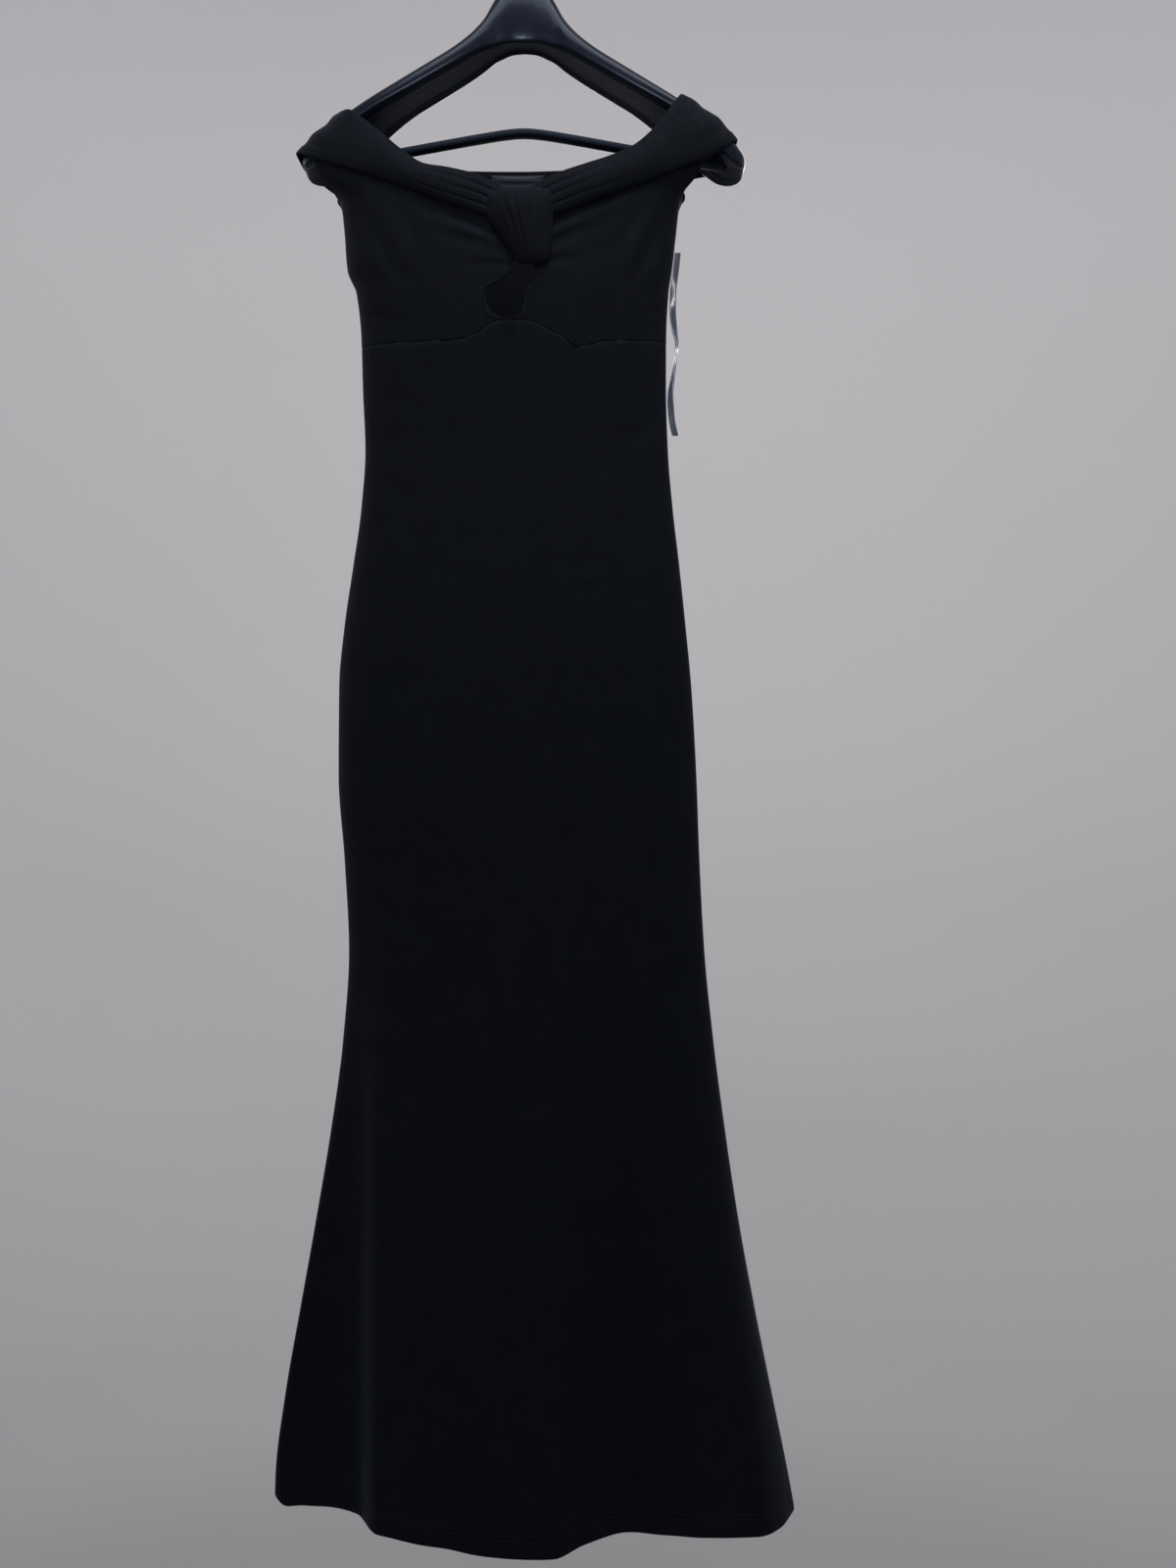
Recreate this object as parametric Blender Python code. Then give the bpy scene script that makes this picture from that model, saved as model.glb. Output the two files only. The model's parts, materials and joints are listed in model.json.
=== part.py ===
"""Off-the-shoulder maxi dress on a wide-shouldered hanger, modelled in metres.

The origin is the inside top of the hanger's hook, where a rail or nail carries it. +Z is up, +X is to the
right of a person who looks at the dress's front, and the front faces -Y. The dress hangs as a flattened
tube: a level of the tube is a superellipse between a left and a right side seam, and every panel of the
body is a stretch of that tube. "across" is a place round one half of it, 0 at the left side seam and 1 at
the right one. "level" is a height, which is negative because everything hangs below the origin.
"""

import math
from collections import namedtuple

import bpy
import numpy as np

# Walls and gaps
CLOTH = 0.0015
BAND_CLOTH = 0.0020
SEAM_GAP = 0.0003

# The body tube, one row for each level
Ring = namedtuple("Ring", "level left right front back square")
RINGS = (
    Ring(-0.230, -0.2200, 0.2080, 0.0310, 0.0310, 5.0),
    Ring(-0.256, -0.2120, 0.1850, 0.0320, 0.0310, 5.0),
    Ring(-0.273, -0.2010, 0.1700, 0.0330, 0.0310, 4.7),
    Ring(-0.285, -0.1862, 0.1560, 0.0338, 0.0308, 4.3),
    Ring(-0.294, -0.1793, 0.1525, 0.0342, 0.0304, 4.0),
    Ring(-0.319, -0.1763, 0.1495, 0.0345, 0.0295, 3.3),
    Ring(-0.356, -0.1736, 0.1452, 0.0340, 0.0280, 3.0),
    Ring(-0.378, -0.1650, 0.1420, 0.0335, 0.0270, 2.8),
    Ring(-0.424, -0.1602, 0.1398, 0.0305, 0.0240, 2.6),
    Ring(-0.471, -0.1589, 0.1396, 0.0270, 0.0225, 2.6),
    Ring(-0.533, -0.1565, 0.1415, 0.0250, 0.0220, 2.6),
    Ring(-0.591, -0.1605, 0.1463, 0.0260, 0.0230, 2.6),
    Ring(-0.649, -0.1686, 0.1530, 0.0275, 0.0250, 2.6),
    Ring(-0.707, -0.1770, 0.1590, 0.0290, 0.0270, 2.6),
    Ring(-0.765, -0.1822, 0.1645, 0.0300, 0.0280, 2.6),
    Ring(-0.852, -0.1828, 0.1695, 0.0305, 0.0280, 2.6),
    Ring(-0.940, -0.1766, 0.1728, 0.0300, 0.0270, 2.6),
    Ring(-1.027, -0.1725, 0.1775, 0.0300, 0.0270, 2.6),
    Ring(-1.114, -0.1783, 0.1862, 0.0305, 0.0275, 2.6),
    Ring(-1.201, -0.1899, 0.1975, 0.0320, 0.0285, 2.6),
    Ring(-1.288, -0.2044, 0.2105, 0.0335, 0.0295, 2.6),
    Ring(-1.376, -0.2200, 0.2265, 0.0350, 0.0305, 2.6),
    Ring(-1.463, -0.2352, 0.2440, 0.0360, 0.0315, 2.6),
    Ring(-1.540, -0.2448, 0.2597, 0.0365, 0.0320, 2.6),
    Ring(-1.600, -0.2465, 0.2705, 0.0365, 0.0320, 2.6),
)

# The hem's folds: how far the cloth stands from the middle plane at each place along the hem
Fold = namedtuple("Fold", "x depth")
HEM_FRONT_FOLDS = (
    Fold(-0.2465, 0.000),
    Fold(-0.1930, 0.006),
    Fold(-0.1620, 0.016),
    Fold(-0.1380, 0.045),
    Fold(-0.0760, 0.051),
    Fold(0.0300, 0.049),
    Fold(0.0600, 0.030),
    Fold(0.0950, 0.021),
    Fold(0.1380, 0.035),
    Fold(0.1750, 0.046),
    Fold(0.2250, 0.050),
    Fold(0.2500, 0.042),
    Fold(0.2700, 0.000),
)
HEM_BACK_FOLDS = (
    Fold(-0.2465, 0.000),
    Fold(-0.2150, 0.027),
    Fold(-0.1600, 0.036),
    Fold(-0.1000, 0.020),
    Fold(-0.0400, 0.036),
    Fold(0.0200, 0.041),
    Fold(0.0800, 0.024),
    Fold(0.1400, 0.034),
    Fold(0.2100, 0.038),
    Fold(0.2450, 0.028),
    Fold(0.2700, 0.000),
)
FOLDS_START = -0.93
FOLDS_FULL = -1.57
SIDE_SHARPNESS = 14

# The hem line: level of the side corners, and how much longer the skirt is at the centre front
HEM_LEVEL = -1.5705
HEM_DIP = 0.0265
HEM_DIP_X = 0.012
HEM_DIP_WIDTH = 0.12
HEM_RIGHT_DROP = 0.006
HEM_BACK_RISE = 0.004
HEM_BACK_DIP = 0.4
HEM_LEFT_CORNER_RISE = 0.010
HEM_RIGHT_CORNER_RISE = -0.006
HEM_CORNER_WIDTH = 0.0083

# Seam lines and free edges on the tube, one row for each place across
Edge = namedtuple("Edge", "across level")
UNDERBUST = (
    Edge(0.00, -0.4310),
    Edge(0.15, -0.4335),
    Edge(0.37, -0.4330),
    Edge(0.41, -0.4295),
    Edge(0.46, -0.4165),
    Edge(0.49, -0.4135),
    Edge(0.53, -0.4145),
    Edge(0.60, -0.4285),
    Edge(0.64, -0.4390),
    Edge(0.70, -0.4330),
    Edge(0.85, -0.4300),
    Edge(1.00, -0.4280),
)
BUST_TOP = (
    Edge(0.090, -0.2610),
    Edge(0.130, -0.2600),
    Edge(0.190, -0.2635),
    Edge(0.240, -0.2700),
    Edge(0.290, -0.2785),
    Edge(0.335, -0.2870),
    Edge(0.390, -0.2975),
    Edge(0.440, -0.3060),
    Edge(0.519, -0.3110),
    Edge(0.580, -0.3045),
    Edge(0.670, -0.2890),
    Edge(0.755, -0.2740),
    Edge(0.815, -0.2630),
    Edge(0.900, -0.2520),
)
BACK_TOP = (
    Edge(0.000, -0.2925),
    Edge(0.040, -0.2865),
    Edge(0.128, -0.2720),
    Edge(0.220, -0.2600),
    Edge(0.262, -0.2450),
    Edge(0.300, -0.2415),
    Edge(0.500, -0.2430),
    Edge(0.670, -0.2400),
    Edge(0.715, -0.2420),
    Edge(0.760, -0.2530),
    Edge(0.850, -0.2640),
    Edge(0.960, -0.2850),
    Edge(1.000, -0.2870),
)

# Where the bust panels end at each level: the armholes at the sides and the keyhole in the middle
Ends = namedtuple("Ends", "level left right")
ARMHOLES = (
    Ends(-0.2935, 0.000, 1.000),
    Ends(-0.2900, 0.018, 1.000),
    Ends(-0.2875, 0.030, 0.998),
    Ends(-0.2830, 0.048, 0.965),
    Ends(-0.2730, 0.072, 0.935),
    Ends(-0.2520, 0.095, 0.900),
)
KEYHOLE = (
    Ends(-0.4135, 0.4896, 0.4904),
    Ends(-0.4110, 0.4700, 0.5115),
    Ends(-0.4050, 0.4539, 0.5251),
    Ends(-0.3950, 0.4462, 0.5283),
    Ends(-0.3850, 0.4518, 0.5325),
    Ends(-0.3770, 0.4822, 0.5471),
    Ends(-0.3700, 0.5000, 0.5530),
    Ends(-0.3600, 0.5063, 0.5461),
    Ends(-0.3530, 0.5190, 0.5200),
    Ends(-0.3000, 0.5190, 0.5200),
)
SEAM_MEETS = 0.49
BUST_ROW_BUNCHING = 1.15
BACK_ROW_BUNCHING = 1.25

# Gathers that run out of the knot over the bust, and the drag lines from the armholes. A row is a trough
# along a line, with the cloth beside it left as a ridge. It loses GATHER_LOSS of its depth on the way.
Gather = namedtuple("Gather", "from_x from_level to_x to_level width depth")
GATHERS = (
    Gather(-0.030, -0.338, -0.120, -0.304, 0.009, 0.0040),
    Gather(-0.022, -0.352, -0.090, -0.338, 0.010, 0.0028),
    Gather(0.024, -0.331, 0.150, -0.275, 0.009, 0.0040),
    Gather(0.022, -0.350, 0.065, -0.331, 0.009, 0.0030),
    Gather(0.138, -0.303, 0.105, -0.380, 0.011, 0.0030),
    Gather(-0.145, -0.312, -0.112, -0.378, 0.012, 0.0022),
)
GATHER_LOSS = 0.75
GATHER_LEAST = 0.2

# Each band, one row for each station from the knot over the shoulder to the back: its neck edge, its
# lower edge, which is the sleeve's hem where it passes over the hanger's tip, and how far it is rounded
Station = namedtuple("Station", "neck lower round")
BAND_LEFT = (
    Station((-0.0200, -0.0375, -0.2882), (-0.0240, -0.0388, -0.3180), 0.0012),
    Station((-0.0448, -0.0375, -0.2770), (-0.0460, -0.0385, -0.3118), 0.0040),
    Station((-0.0713, -0.0370, -0.2705), (-0.0720, -0.0378, -0.3035), 0.0055),
    Station((-0.0950, -0.0355, -0.2660), (-0.0980, -0.0370, -0.2935), 0.0055),
    Station((-0.1150, -0.0345, -0.2535), (-0.1225, -0.0360, -0.2840), 0.0050),
    Station((-0.1350, -0.0335, -0.2365), (-0.1460, -0.0350, -0.2755), 0.0040),
    Station((-0.1530, -0.0320, -0.2220), (-0.1690, -0.0340, -0.2675), 0.0030),
    Station((-0.1670, -0.0285, -0.2110), (-0.1900, -0.0330, -0.2605), 0.0030),
    Station((-0.1750, -0.0190, -0.2070), (-0.2095, -0.0310, -0.2505), 0.0045),
    Station((-0.1778, -0.0040, -0.2000), (-0.2240, -0.0110, -0.2375), 0.0062),
    Station((-0.1755, 0.0150, -0.2035), (-0.2230, 0.0130, -0.2395), 0.0052),
    Station((-0.1665, 0.0290, -0.2145), (-0.2080, 0.0310, -0.2530), 0.0030),
    Station((-0.1500, 0.0330, -0.2280), (-0.1880, 0.0338, -0.2660), 0.0018),
    Station((-0.1280, 0.0326, -0.2370), (-0.1640, 0.0325, -0.2765), 0.0006),
)
BAND_RIGHT = (
    Station((0.0120, -0.0375, -0.2870), (0.0180, -0.0388, -0.3175), 0.0012),
    Station((0.0346, -0.0375, -0.2758), (0.0400, -0.0385, -0.3105), 0.0040),
    Station((0.0600, -0.0370, -0.2670), (0.0660, -0.0378, -0.3010), 0.0055),
    Station((0.0830, -0.0355, -0.2590), (0.0920, -0.0370, -0.2915), 0.0055),
    Station((0.1040, -0.0345, -0.2500), (0.1160, -0.0360, -0.2825), 0.0050),
    Station((0.1226, -0.0335, -0.2351), (0.1400, -0.0350, -0.2720), 0.0040),
    Station((0.1370, -0.0320, -0.2175), (0.1610, -0.0340, -0.2625), 0.0035),
    Station((0.1470, -0.0285, -0.2030), (0.1800, -0.0330, -0.2530), 0.0040),
    Station((0.1535, -0.0205, -0.1915), (0.1965, -0.0315, -0.2405), 0.0060),
    Station((0.1555, -0.0040, -0.1865), (0.2090, -0.0110, -0.2270), 0.0070),
    Station((0.1535, 0.0150, -0.1905), (0.2080, 0.0130, -0.2295), 0.0055),
    Station((0.1440, 0.0290, -0.2040), (0.1930, 0.0310, -0.2430), 0.0035),
    Station((0.1270, 0.0333, -0.2210), (0.1700, 0.0338, -0.2570), 0.0018),
    Station((0.1080, 0.0326, -0.2350), (0.1460, 0.0325, -0.2680), 0.0006),
)
BAND_ROLL = 0.7
BANDS_CENTRE = (0.0, 0.0, -0.25)

# The knot, one row for each level: it lies on the inner ends of the bands
Bulge = namedtuple("Bulge", "level centre half_width depth")
KNOT = (
    Bulge(-0.2915, -0.0010, 0.0190, 0.0026),
    Bulge(-0.2955, -0.0015, 0.0265, 0.0074),
    Bulge(-0.3030, -0.0025, 0.0300, 0.0102),
    Bulge(-0.3130, -0.0025, 0.0295, 0.0110),
    Bulge(-0.3260, 0.0005, 0.0262, 0.0107),
    Bulge(-0.3390, 0.0045, 0.0220, 0.0096),
    Bulge(-0.3510, 0.0080, 0.0178, 0.0080),
    Bulge(-0.3595, 0.0090, 0.0140, 0.0056),
    Bulge(-0.3630, 0.0092, 0.0090, 0.0024),
)
KNOT_BACK = -0.0425
KNOT_FOLDS = 3
KNOT_FOLD_DEPTH = 0.0012
KNOT_TWIST = 90.0
KNOT_ROUNDING = 0.7

# The hanger, one row for each distance from its middle: top, the underside's front and back edges, and
# how deep the arm is from front to back
Arm = namedtuple("Arm", "x top under_front under_back depth")
ARM = (
    Arm(0.0000, -0.0650, -0.1337, -0.1345, 0.022),
    Arm(0.0100, -0.0656, -0.1340, -0.1350, 0.023),
    Arm(0.0160, -0.0690, -0.1350, -0.1362, 0.025),
    Arm(0.0220, -0.0765, -0.1366, -0.1385, 0.027),
    Arm(0.0275, -0.0850, -0.1384, -0.1408, 0.028),
    Arm(0.0322, -0.0934, -0.1403, -0.1434, 0.030),
    Arm(0.0381, -0.1049, -0.1429, -0.1470, 0.032),
    Arm(0.0467, -0.1165, -0.1480, -0.1520, 0.035),
    Arm(0.0583, -0.1281, -0.1553, -0.1588, 0.040),
    Arm(0.0731, -0.1396, -0.1644, -0.1672, 0.043),
    Arm(0.0910, -0.1512, -0.1752, -0.1776, 0.047),
    Arm(0.1092, -0.1627, -0.1860, -0.1885, 0.049),
    Arm(0.1275, -0.1742, -0.1962, -0.2025, 0.050),
    Arm(0.1463, -0.1858, -0.2070, -0.2195, 0.050),
    Arm(0.1650, -0.1978, -0.2200, -0.2370, 0.050),
    Arm(0.1800, -0.2080, -0.2330, -0.2490, 0.050),
    Arm(0.1950, -0.2195, -0.2480, -0.2590, 0.048),
    Arm(0.2050, -0.2290, -0.2560, -0.2610, 0.044),
    Arm(0.2120, -0.2375, -0.2580, -0.2605, 0.036),
    Arm(0.2160, -0.2440, -0.2565, -0.2580, 0.026),
    Arm(0.2178, -0.2495, -0.2520, -0.2525, 0.010),
)
# Half of an arm's section, from the underside's middle round the front to the top's middle
Corner = namedtuple("Corner", "out up")
ARM_SECTION = (
    Corner(0.00, 0.000),
    Corner(0.86, 0.000),
    Corner(0.97, 0.050),
    Corner(1.00, 0.160),
    Corner(0.97, 0.450),
    Corner(0.86, 0.700),
    Corner(0.62, 0.890),
    Corner(0.30, 0.975),
    Corner(0.00, 1.000),
)

# The trouser bar: a shallow arch of a rounded strip
BAR_TOP_LEVEL = -0.2188
BAR_SLOPE = 0.186
BAR_ROUNDING = 0.018
BAR_REACH = 0.200
BAR_HALF_HEIGHT = 0.0040
BAR_HALF_DEPTH = 0.0056
BAR_ROUNDNESS = 0.7

# The wire hook and its ferrule
WIRE_RADIUS = 0.0019
HOOK_INNER_RADIUS = 0.0190
FERRULE_RADIUS = 0.0046
FERRULE_LENGTH = 0.0060
FERRULE_CHAMFER = 0.0006
FERRULE_SHOULDER = 0.0002
NECK_TOP = -0.0650
SHANK_TOP = -0.0500
HOOK_START_DEG = -52.0
HOOK_END_DEG = 212.0
HOOK_BEND_PULL = 0.012
HOOK_END_ROUNDING = 0.5

# The satin label inside the back neck
LABEL_WIDTH = 0.055
LABEL_HEIGHT = 0.018
LABEL_CENTRE = -0.0085
LABEL_TOP = -0.2475
LABEL_WALL = 0.0010

# The clear hanging loop at the right side seam: where its middle line runs beside the seam, and its twist
LoopPoint = namedtuple("LoopPoint", "level out forward twist")
LOOP = (
    LoopPoint(-0.3375, 0.0042, -0.0010, 0.0),
    LoopPoint(-0.3550, 0.0044, -0.0014, 6.0),
    LoopPoint(-0.3770, 0.0050, -0.0022, -8.0),
    LoopPoint(-0.4000, 0.0062, -0.0030, 8.0),
    LoopPoint(-0.4150, 0.0086, -0.0032, 38.0),
    LoopPoint(-0.4276, 0.0110, -0.0026, 70.0),
    LoopPoint(-0.4402, 0.0102, -0.0018, 92.0),
    LoopPoint(-0.4586, 0.0072, -0.0014, 112.0),
    LoopPoint(-0.4780, 0.0047, -0.0018, 140.0),
    LoopPoint(-0.4984, 0.0052, -0.0028, 172.0),
    LoopPoint(-0.5120, 0.0070, -0.0030, 186.0),
    LoopPoint(-0.5172, 0.0080, -0.0028, 190.0),
)
LOOP_WIDTH = 0.0060
LOOP_WALL = 0.0010
LOOP_RUNS_APART = 0.0017
LOOP_STATIONS = 30

# How finely each surface is divided
COLUMNS_LEFT = 14
COLUMNS_RIGHT = 14
SKIRT_ROWS = 20
BUST_ROWS = 17
BACK_COLUMNS = 22
BACK_ROWS = 27
BAND_STATIONS = 27
BAND_ROWS = 9
SHARP_ANGLE_DEG = 50


def clear_scene():
    for thing in list(bpy.data.objects):
        bpy.data.objects.remove(thing, do_unlink=True)


def material(name, colour, roughness, metallic=0.0, alpha=1.0):
    made = bpy.data.materials.new(name)
    made.use_nodes = True
    shader = made.node_tree.nodes["Principled BSDF"]
    shader.inputs["Base Color"].default_value = (*colour, 1.0)
    shader.inputs["Roughness"].default_value = roughness
    shader.inputs["Metallic"].default_value = metallic
    shader.inputs["Alpha"].default_value = alpha
    made.diffuse_color = (*colour, alpha)
    return made


def smooth(at, knots, values):
    """A curve through the knots that never overshoots them: cubic pieces with limited slopes."""
    knots = np.asarray(knots, float)
    values = np.asarray(values, float)
    if knots[0] > knots[-1]:
        knots = knots[::-1]
        values = values[::-1]
    at = np.clip(np.asarray(at, float), knots[0], knots[-1])
    step = np.diff(knots)
    rise = np.diff(values) / step
    slope = np.zeros_like(values)
    same_way = rise[1:] * rise[:-1] > 0
    weight_a = 2 * step[1:] + step[:-1]
    weight_b = step[1:] + 2 * step[:-1]
    safe = np.where(same_way, rise[:-1], 1.0)
    safe_next = np.where(same_way, rise[1:], 1.0)
    mean = (weight_a + weight_b) / (weight_a / safe + weight_b / safe_next)
    slope[1:-1] = np.where(same_way, mean, 0.0)
    slope[0] = rise[0]
    slope[-1] = rise[-1]
    index = np.clip(np.searchsorted(knots, at, side="right") - 1, 0, len(step) - 1)
    span = step[index]
    t = (at - knots[index]) / span
    ease = t * t * (3 - 2 * t)
    leave = t * (1 - t) ** 2
    arrive = t * t * (t - 1)
    start = values[index] * (1 - ease) + values[index + 1] * ease
    return start + span * (slope[index] * leave + slope[index + 1] * arrive)


def column(rows, name):
    return [getattr(row, name) for row in rows]


def read(rows, at, key, name):
    return smooth(at, column(rows, key), column(rows, name))


def ring(level, name):
    return read(RINGS, level, "level", name)


def line(rows, across):
    return read(rows, across, "across", "level")


def half_ring(across, level, side):
    """The plain tube at a place across and a level, with side -1 for the front and 1 for the back."""
    left = ring(level, "left")
    right = ring(level, "right")
    square = ring(level, "square")
    depth = ring(level, "front" if side < 0 else "back")
    sideways = np.sin(np.pi * (across - 0.5))
    x = (left + right) / 2 + (right - left) / 2 * sideways
    out = np.clip(1 - np.abs(sideways) ** square, 0, 1) ** (1 / square)
    return x, side * (SEAM_GAP / 2 + depth * out), sideways


def hem_fold(x, sideways, level, side):
    """How far the hem's folds move the cloth away from the plain tube, none above FOLDS_START."""
    folds = HEM_FRONT_FOLDS if side < 0 else HEM_BACK_FOLDS
    bottom = RINGS[-1]
    depth = bottom.front if side < 0 else bottom.back
    reach = (x - (bottom.left + bottom.right) / 2) / ((bottom.right - bottom.left) / 2)
    plain = depth * np.clip(1 - np.abs(reach) ** bottom.square, 0, 1) ** (1 / bottom.square)
    wanted = read(folds, x, "x", "depth")
    down = np.clip((FOLDS_START - level) / (FOLDS_START - FOLDS_FULL), 0, 1)
    fade = down * down * (3 - 2 * down)
    inside = 1 - np.abs(sideways) ** SIDE_SHARPNESS
    return side * (wanted - plain) * fade * inside


def gather_depth(x, level):
    """Troughs along the gathers: each is deepest at its start and dies away at its end."""
    total = np.zeros_like(x)
    for row in GATHERS:
        along = np.array([row.to_x - row.from_x, row.to_level - row.from_level])
        length = np.hypot(*along)
        along = along / length
        dx = x - row.from_x
        dz = level - row.from_level
        run = (dx * along[0] + dz * along[1]) / length
        off = dx * along[1] - dz * along[0]
        beyond = np.maximum(run - 1, 0) + np.maximum(-run, 0)
        kept = np.clip(1 - GATHER_LOSS * run, GATHER_LEAST, 1)
        fade = kept * np.exp(-((beyond * length / row.width) ** 2))
        wave = (1 - 2 * (off / row.width) ** 2) * np.exp(-((off / row.width) ** 2))
        total += row.depth * fade * wave
    return total


def body_points(across, level, side):
    """Points of the dress's tube, as an array with x, y and z last."""
    x, y, sideways = half_ring(across, level, side)
    y = y + hem_fold(x, sideways, level, side)
    if side < 0:
        y = y + gather_depth(x, level) * (1 - np.abs(sideways) ** SIDE_SHARPNESS)
    return np.stack([x, y, level + 0 * x], axis=-1)


def hem_level(x, side):
    bottom = RINGS[-1]
    dip = HEM_DIP * np.exp(-(((x - HEM_DIP_X) / HEM_DIP_WIDTH) ** 2))
    from_left = np.maximum(x - bottom.left, 0) / HEM_CORNER_WIDTH
    from_right = np.maximum(bottom.right - x, 0) / HEM_CORNER_WIDTH
    corner = HEM_LEFT_CORNER_RISE * np.exp(-(from_left**2))
    corner = corner + HEM_RIGHT_CORNER_RISE * np.exp(-(from_right**2))
    drop = HEM_RIGHT_DROP * np.clip(x / bottom.right, 0, 1)
    if side < 0:
        return HEM_LEVEL - dip + corner - drop
    return HEM_LEVEL - HEM_BACK_DIP * dip + corner - drop + HEM_BACK_RISE


def add_mesh(name, points, faces, finish):
    """A new object from points and faces, turned outwards and shaded smooth where it is round."""
    points = np.asarray(points, float)
    volume = 0.0
    for face in faces:
        first = points[face[0]]
        for second, third in zip(face[1:-1], face[2:]):
            volume += np.dot(first, np.cross(points[second], points[third]))
    if volume < 0:
        faces = [tuple(reversed(face)) for face in faces]
    mesh = bpy.data.meshes.new(name)
    mesh.from_pydata([tuple(map(float, point)) for point in points], [], faces)
    mesh.validate()
    mesh.shade_smooth()
    mesh.set_sharp_from_angle(angle=math.radians(SHARP_ANGLE_DEG))
    mesh.materials.append(finish)
    made = bpy.data.objects.new(name, mesh)
    bpy.context.scene.collection.objects.link(made)
    return made


def surface_normals(points):
    down = np.gradient(points, axis=0)
    over = np.gradient(points, axis=1)
    normal = np.cross(over, down)
    return normal / np.linalg.norm(normal, axis=-1, keepdims=True)


def wall(name, points, thickness, finish, normals=None):
    """A wall of the given thickness on both sides of a grid of points, closed all round its edge."""
    rows, columns, _ = points.shape
    if normals is None:
        normals = surface_normals(points)
    outer = (points + normals * thickness / 2).reshape(-1, 3)
    inner = (points - normals * thickness / 2).reshape(-1, 3)
    index = np.arange(rows * columns).reshape(rows, columns)
    other = index + rows * columns
    faces = []
    for r in range(rows - 1):
        for c in range(columns - 1):
            a, b, d, e = index[r, c], index[r, c + 1], index[r + 1, c + 1], index[r + 1, c]
            faces.append((int(a), int(e), int(d), int(b)))
            a, b, d, e = other[r, c], other[r, c + 1], other[r + 1, c + 1], other[r + 1, c]
            faces.append((int(a), int(b), int(d), int(e)))
    rim = [*index[0, :-1], *index[:-1, -1], *index[-1, :0:-1], *index[:0:-1, 0]]
    for first, second in zip(rim, rim[1:] + rim[:1]):
        shift = rows * columns
        faces.append((int(first), int(second), int(second + shift), int(first + shift)))
    return add_mesh(name, np.concatenate([outer, inner]), faces, finish)


def side_seam_normals(points, across):
    """The grid's normals, kept square to the side seams' plane where a panel ends on one."""
    normals = surface_normals(points)
    on_seam = (across <= 0) | (across >= 1)
    normals[on_seam, 1] = 0
    return normals / np.linalg.norm(normals, axis=-1, keepdims=True)


def rings_to_mesh(name, sections, finish):
    """A closed solid through a row of closed sections, with a flat face on each end."""
    count, around, _ = sections.shape
    index = np.arange(count * around).reshape(count, around)
    faces = [tuple(int(i) for i in index[0]), tuple(int(i) for i in index[-1][::-1])]
    for r in range(count - 1):
        for c in range(around):
            after = (c + 1) % around
            corners = (index[r, c], index[r + 1, c], index[r + 1, after], index[r, after])
            faces.append(tuple(int(i) for i in corners))
    return add_mesh(name, sections.reshape(-1, 3), faces, finish)


def panel_columns():
    """Places across the front, the same for the skirt and for the two bust panels that meet it."""
    left = SEAM_MEETS * np.linspace(0, 1, COLUMNS_LEFT + 1)
    right = SEAM_MEETS + (1 - SEAM_MEETS) * np.linspace(0, 1, COLUMNS_RIGHT + 1)
    return left, right


def build_front_skirt(finish):
    left, right = panel_columns()
    across = np.concatenate([left, right[1:]])
    down = np.linspace(0, 1, SKIRT_ROWS + 1)[:, None]
    top = line(UNDERBUST, across) - SEAM_GAP / 2
    bottom_x = half_ring(across, np.full_like(across, HEM_LEVEL), -1)[0]
    level = top + (hem_level(bottom_x, -1) - top) * down
    grid = np.broadcast_to(across, level.shape)
    points = body_points(grid, level, -1)
    wall("front_skirt", points, CLOTH, finish, side_seam_normals(points, grid))


def build_bust(name, finish):
    """A bust panel. Its rows run from the band down to the under-bust seam, and lie closer at the top."""
    is_left = name == "bust_left"
    left, right = panel_columns()
    share = np.linspace(0, 1, (COLUMNS_LEFT if is_left else COLUMNS_RIGHT) + 1)
    seam_across = left if is_left else right
    bottom = line(UNDERBUST, seam_across) + SEAM_GAP / 2
    if is_left:
        top_across = BUST_TOP[0].across + (KEYHOLE[-1].left - BUST_TOP[0].across) * share
    else:
        top_across = KEYHOLE[-1].right + (BUST_TOP[-1].across - KEYHOLE[-1].right) * share
    top = line(BUST_TOP, top_across)
    down = (np.linspace(0, 1, BUST_ROWS + 1) ** BUST_ROW_BUNCHING)[:, None]
    level = top + (bottom - top) * down
    if is_left:
        start = read(ARMHOLES, level, "level", "left")
        end = read(KEYHOLE, level, "level", "left")
    else:
        start = read(KEYHOLE, level, "level", "right")
        end = read(ARMHOLES, level, "level", "right")
    across = start + (end - start) * share
    across[-1] = seam_across
    if is_left:
        across[-1, -1] = KEYHOLE[0].left
    else:
        across[-1, 0] = KEYHOLE[0].right
    points = body_points(across, level, -1)
    wall(name, points, CLOTH, finish, side_seam_normals(points, across))


def build_back_panel(finish):
    across = np.linspace(0, 1, BACK_COLUMNS + 1)
    down = (np.linspace(0, 1, BACK_ROWS + 1) ** BACK_ROW_BUNCHING)[:, None]
    top = line(BACK_TOP, across)
    bottom_x = half_ring(across, np.full_like(across, HEM_LEVEL), 1)[0]
    level = top + (hem_level(bottom_x, 1) - top) * down
    grid = np.broadcast_to(across, level.shape)
    points = body_points(grid, level, 1)
    wall("back_panel", points, CLOTH, finish, side_seam_normals(points, grid))


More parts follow.
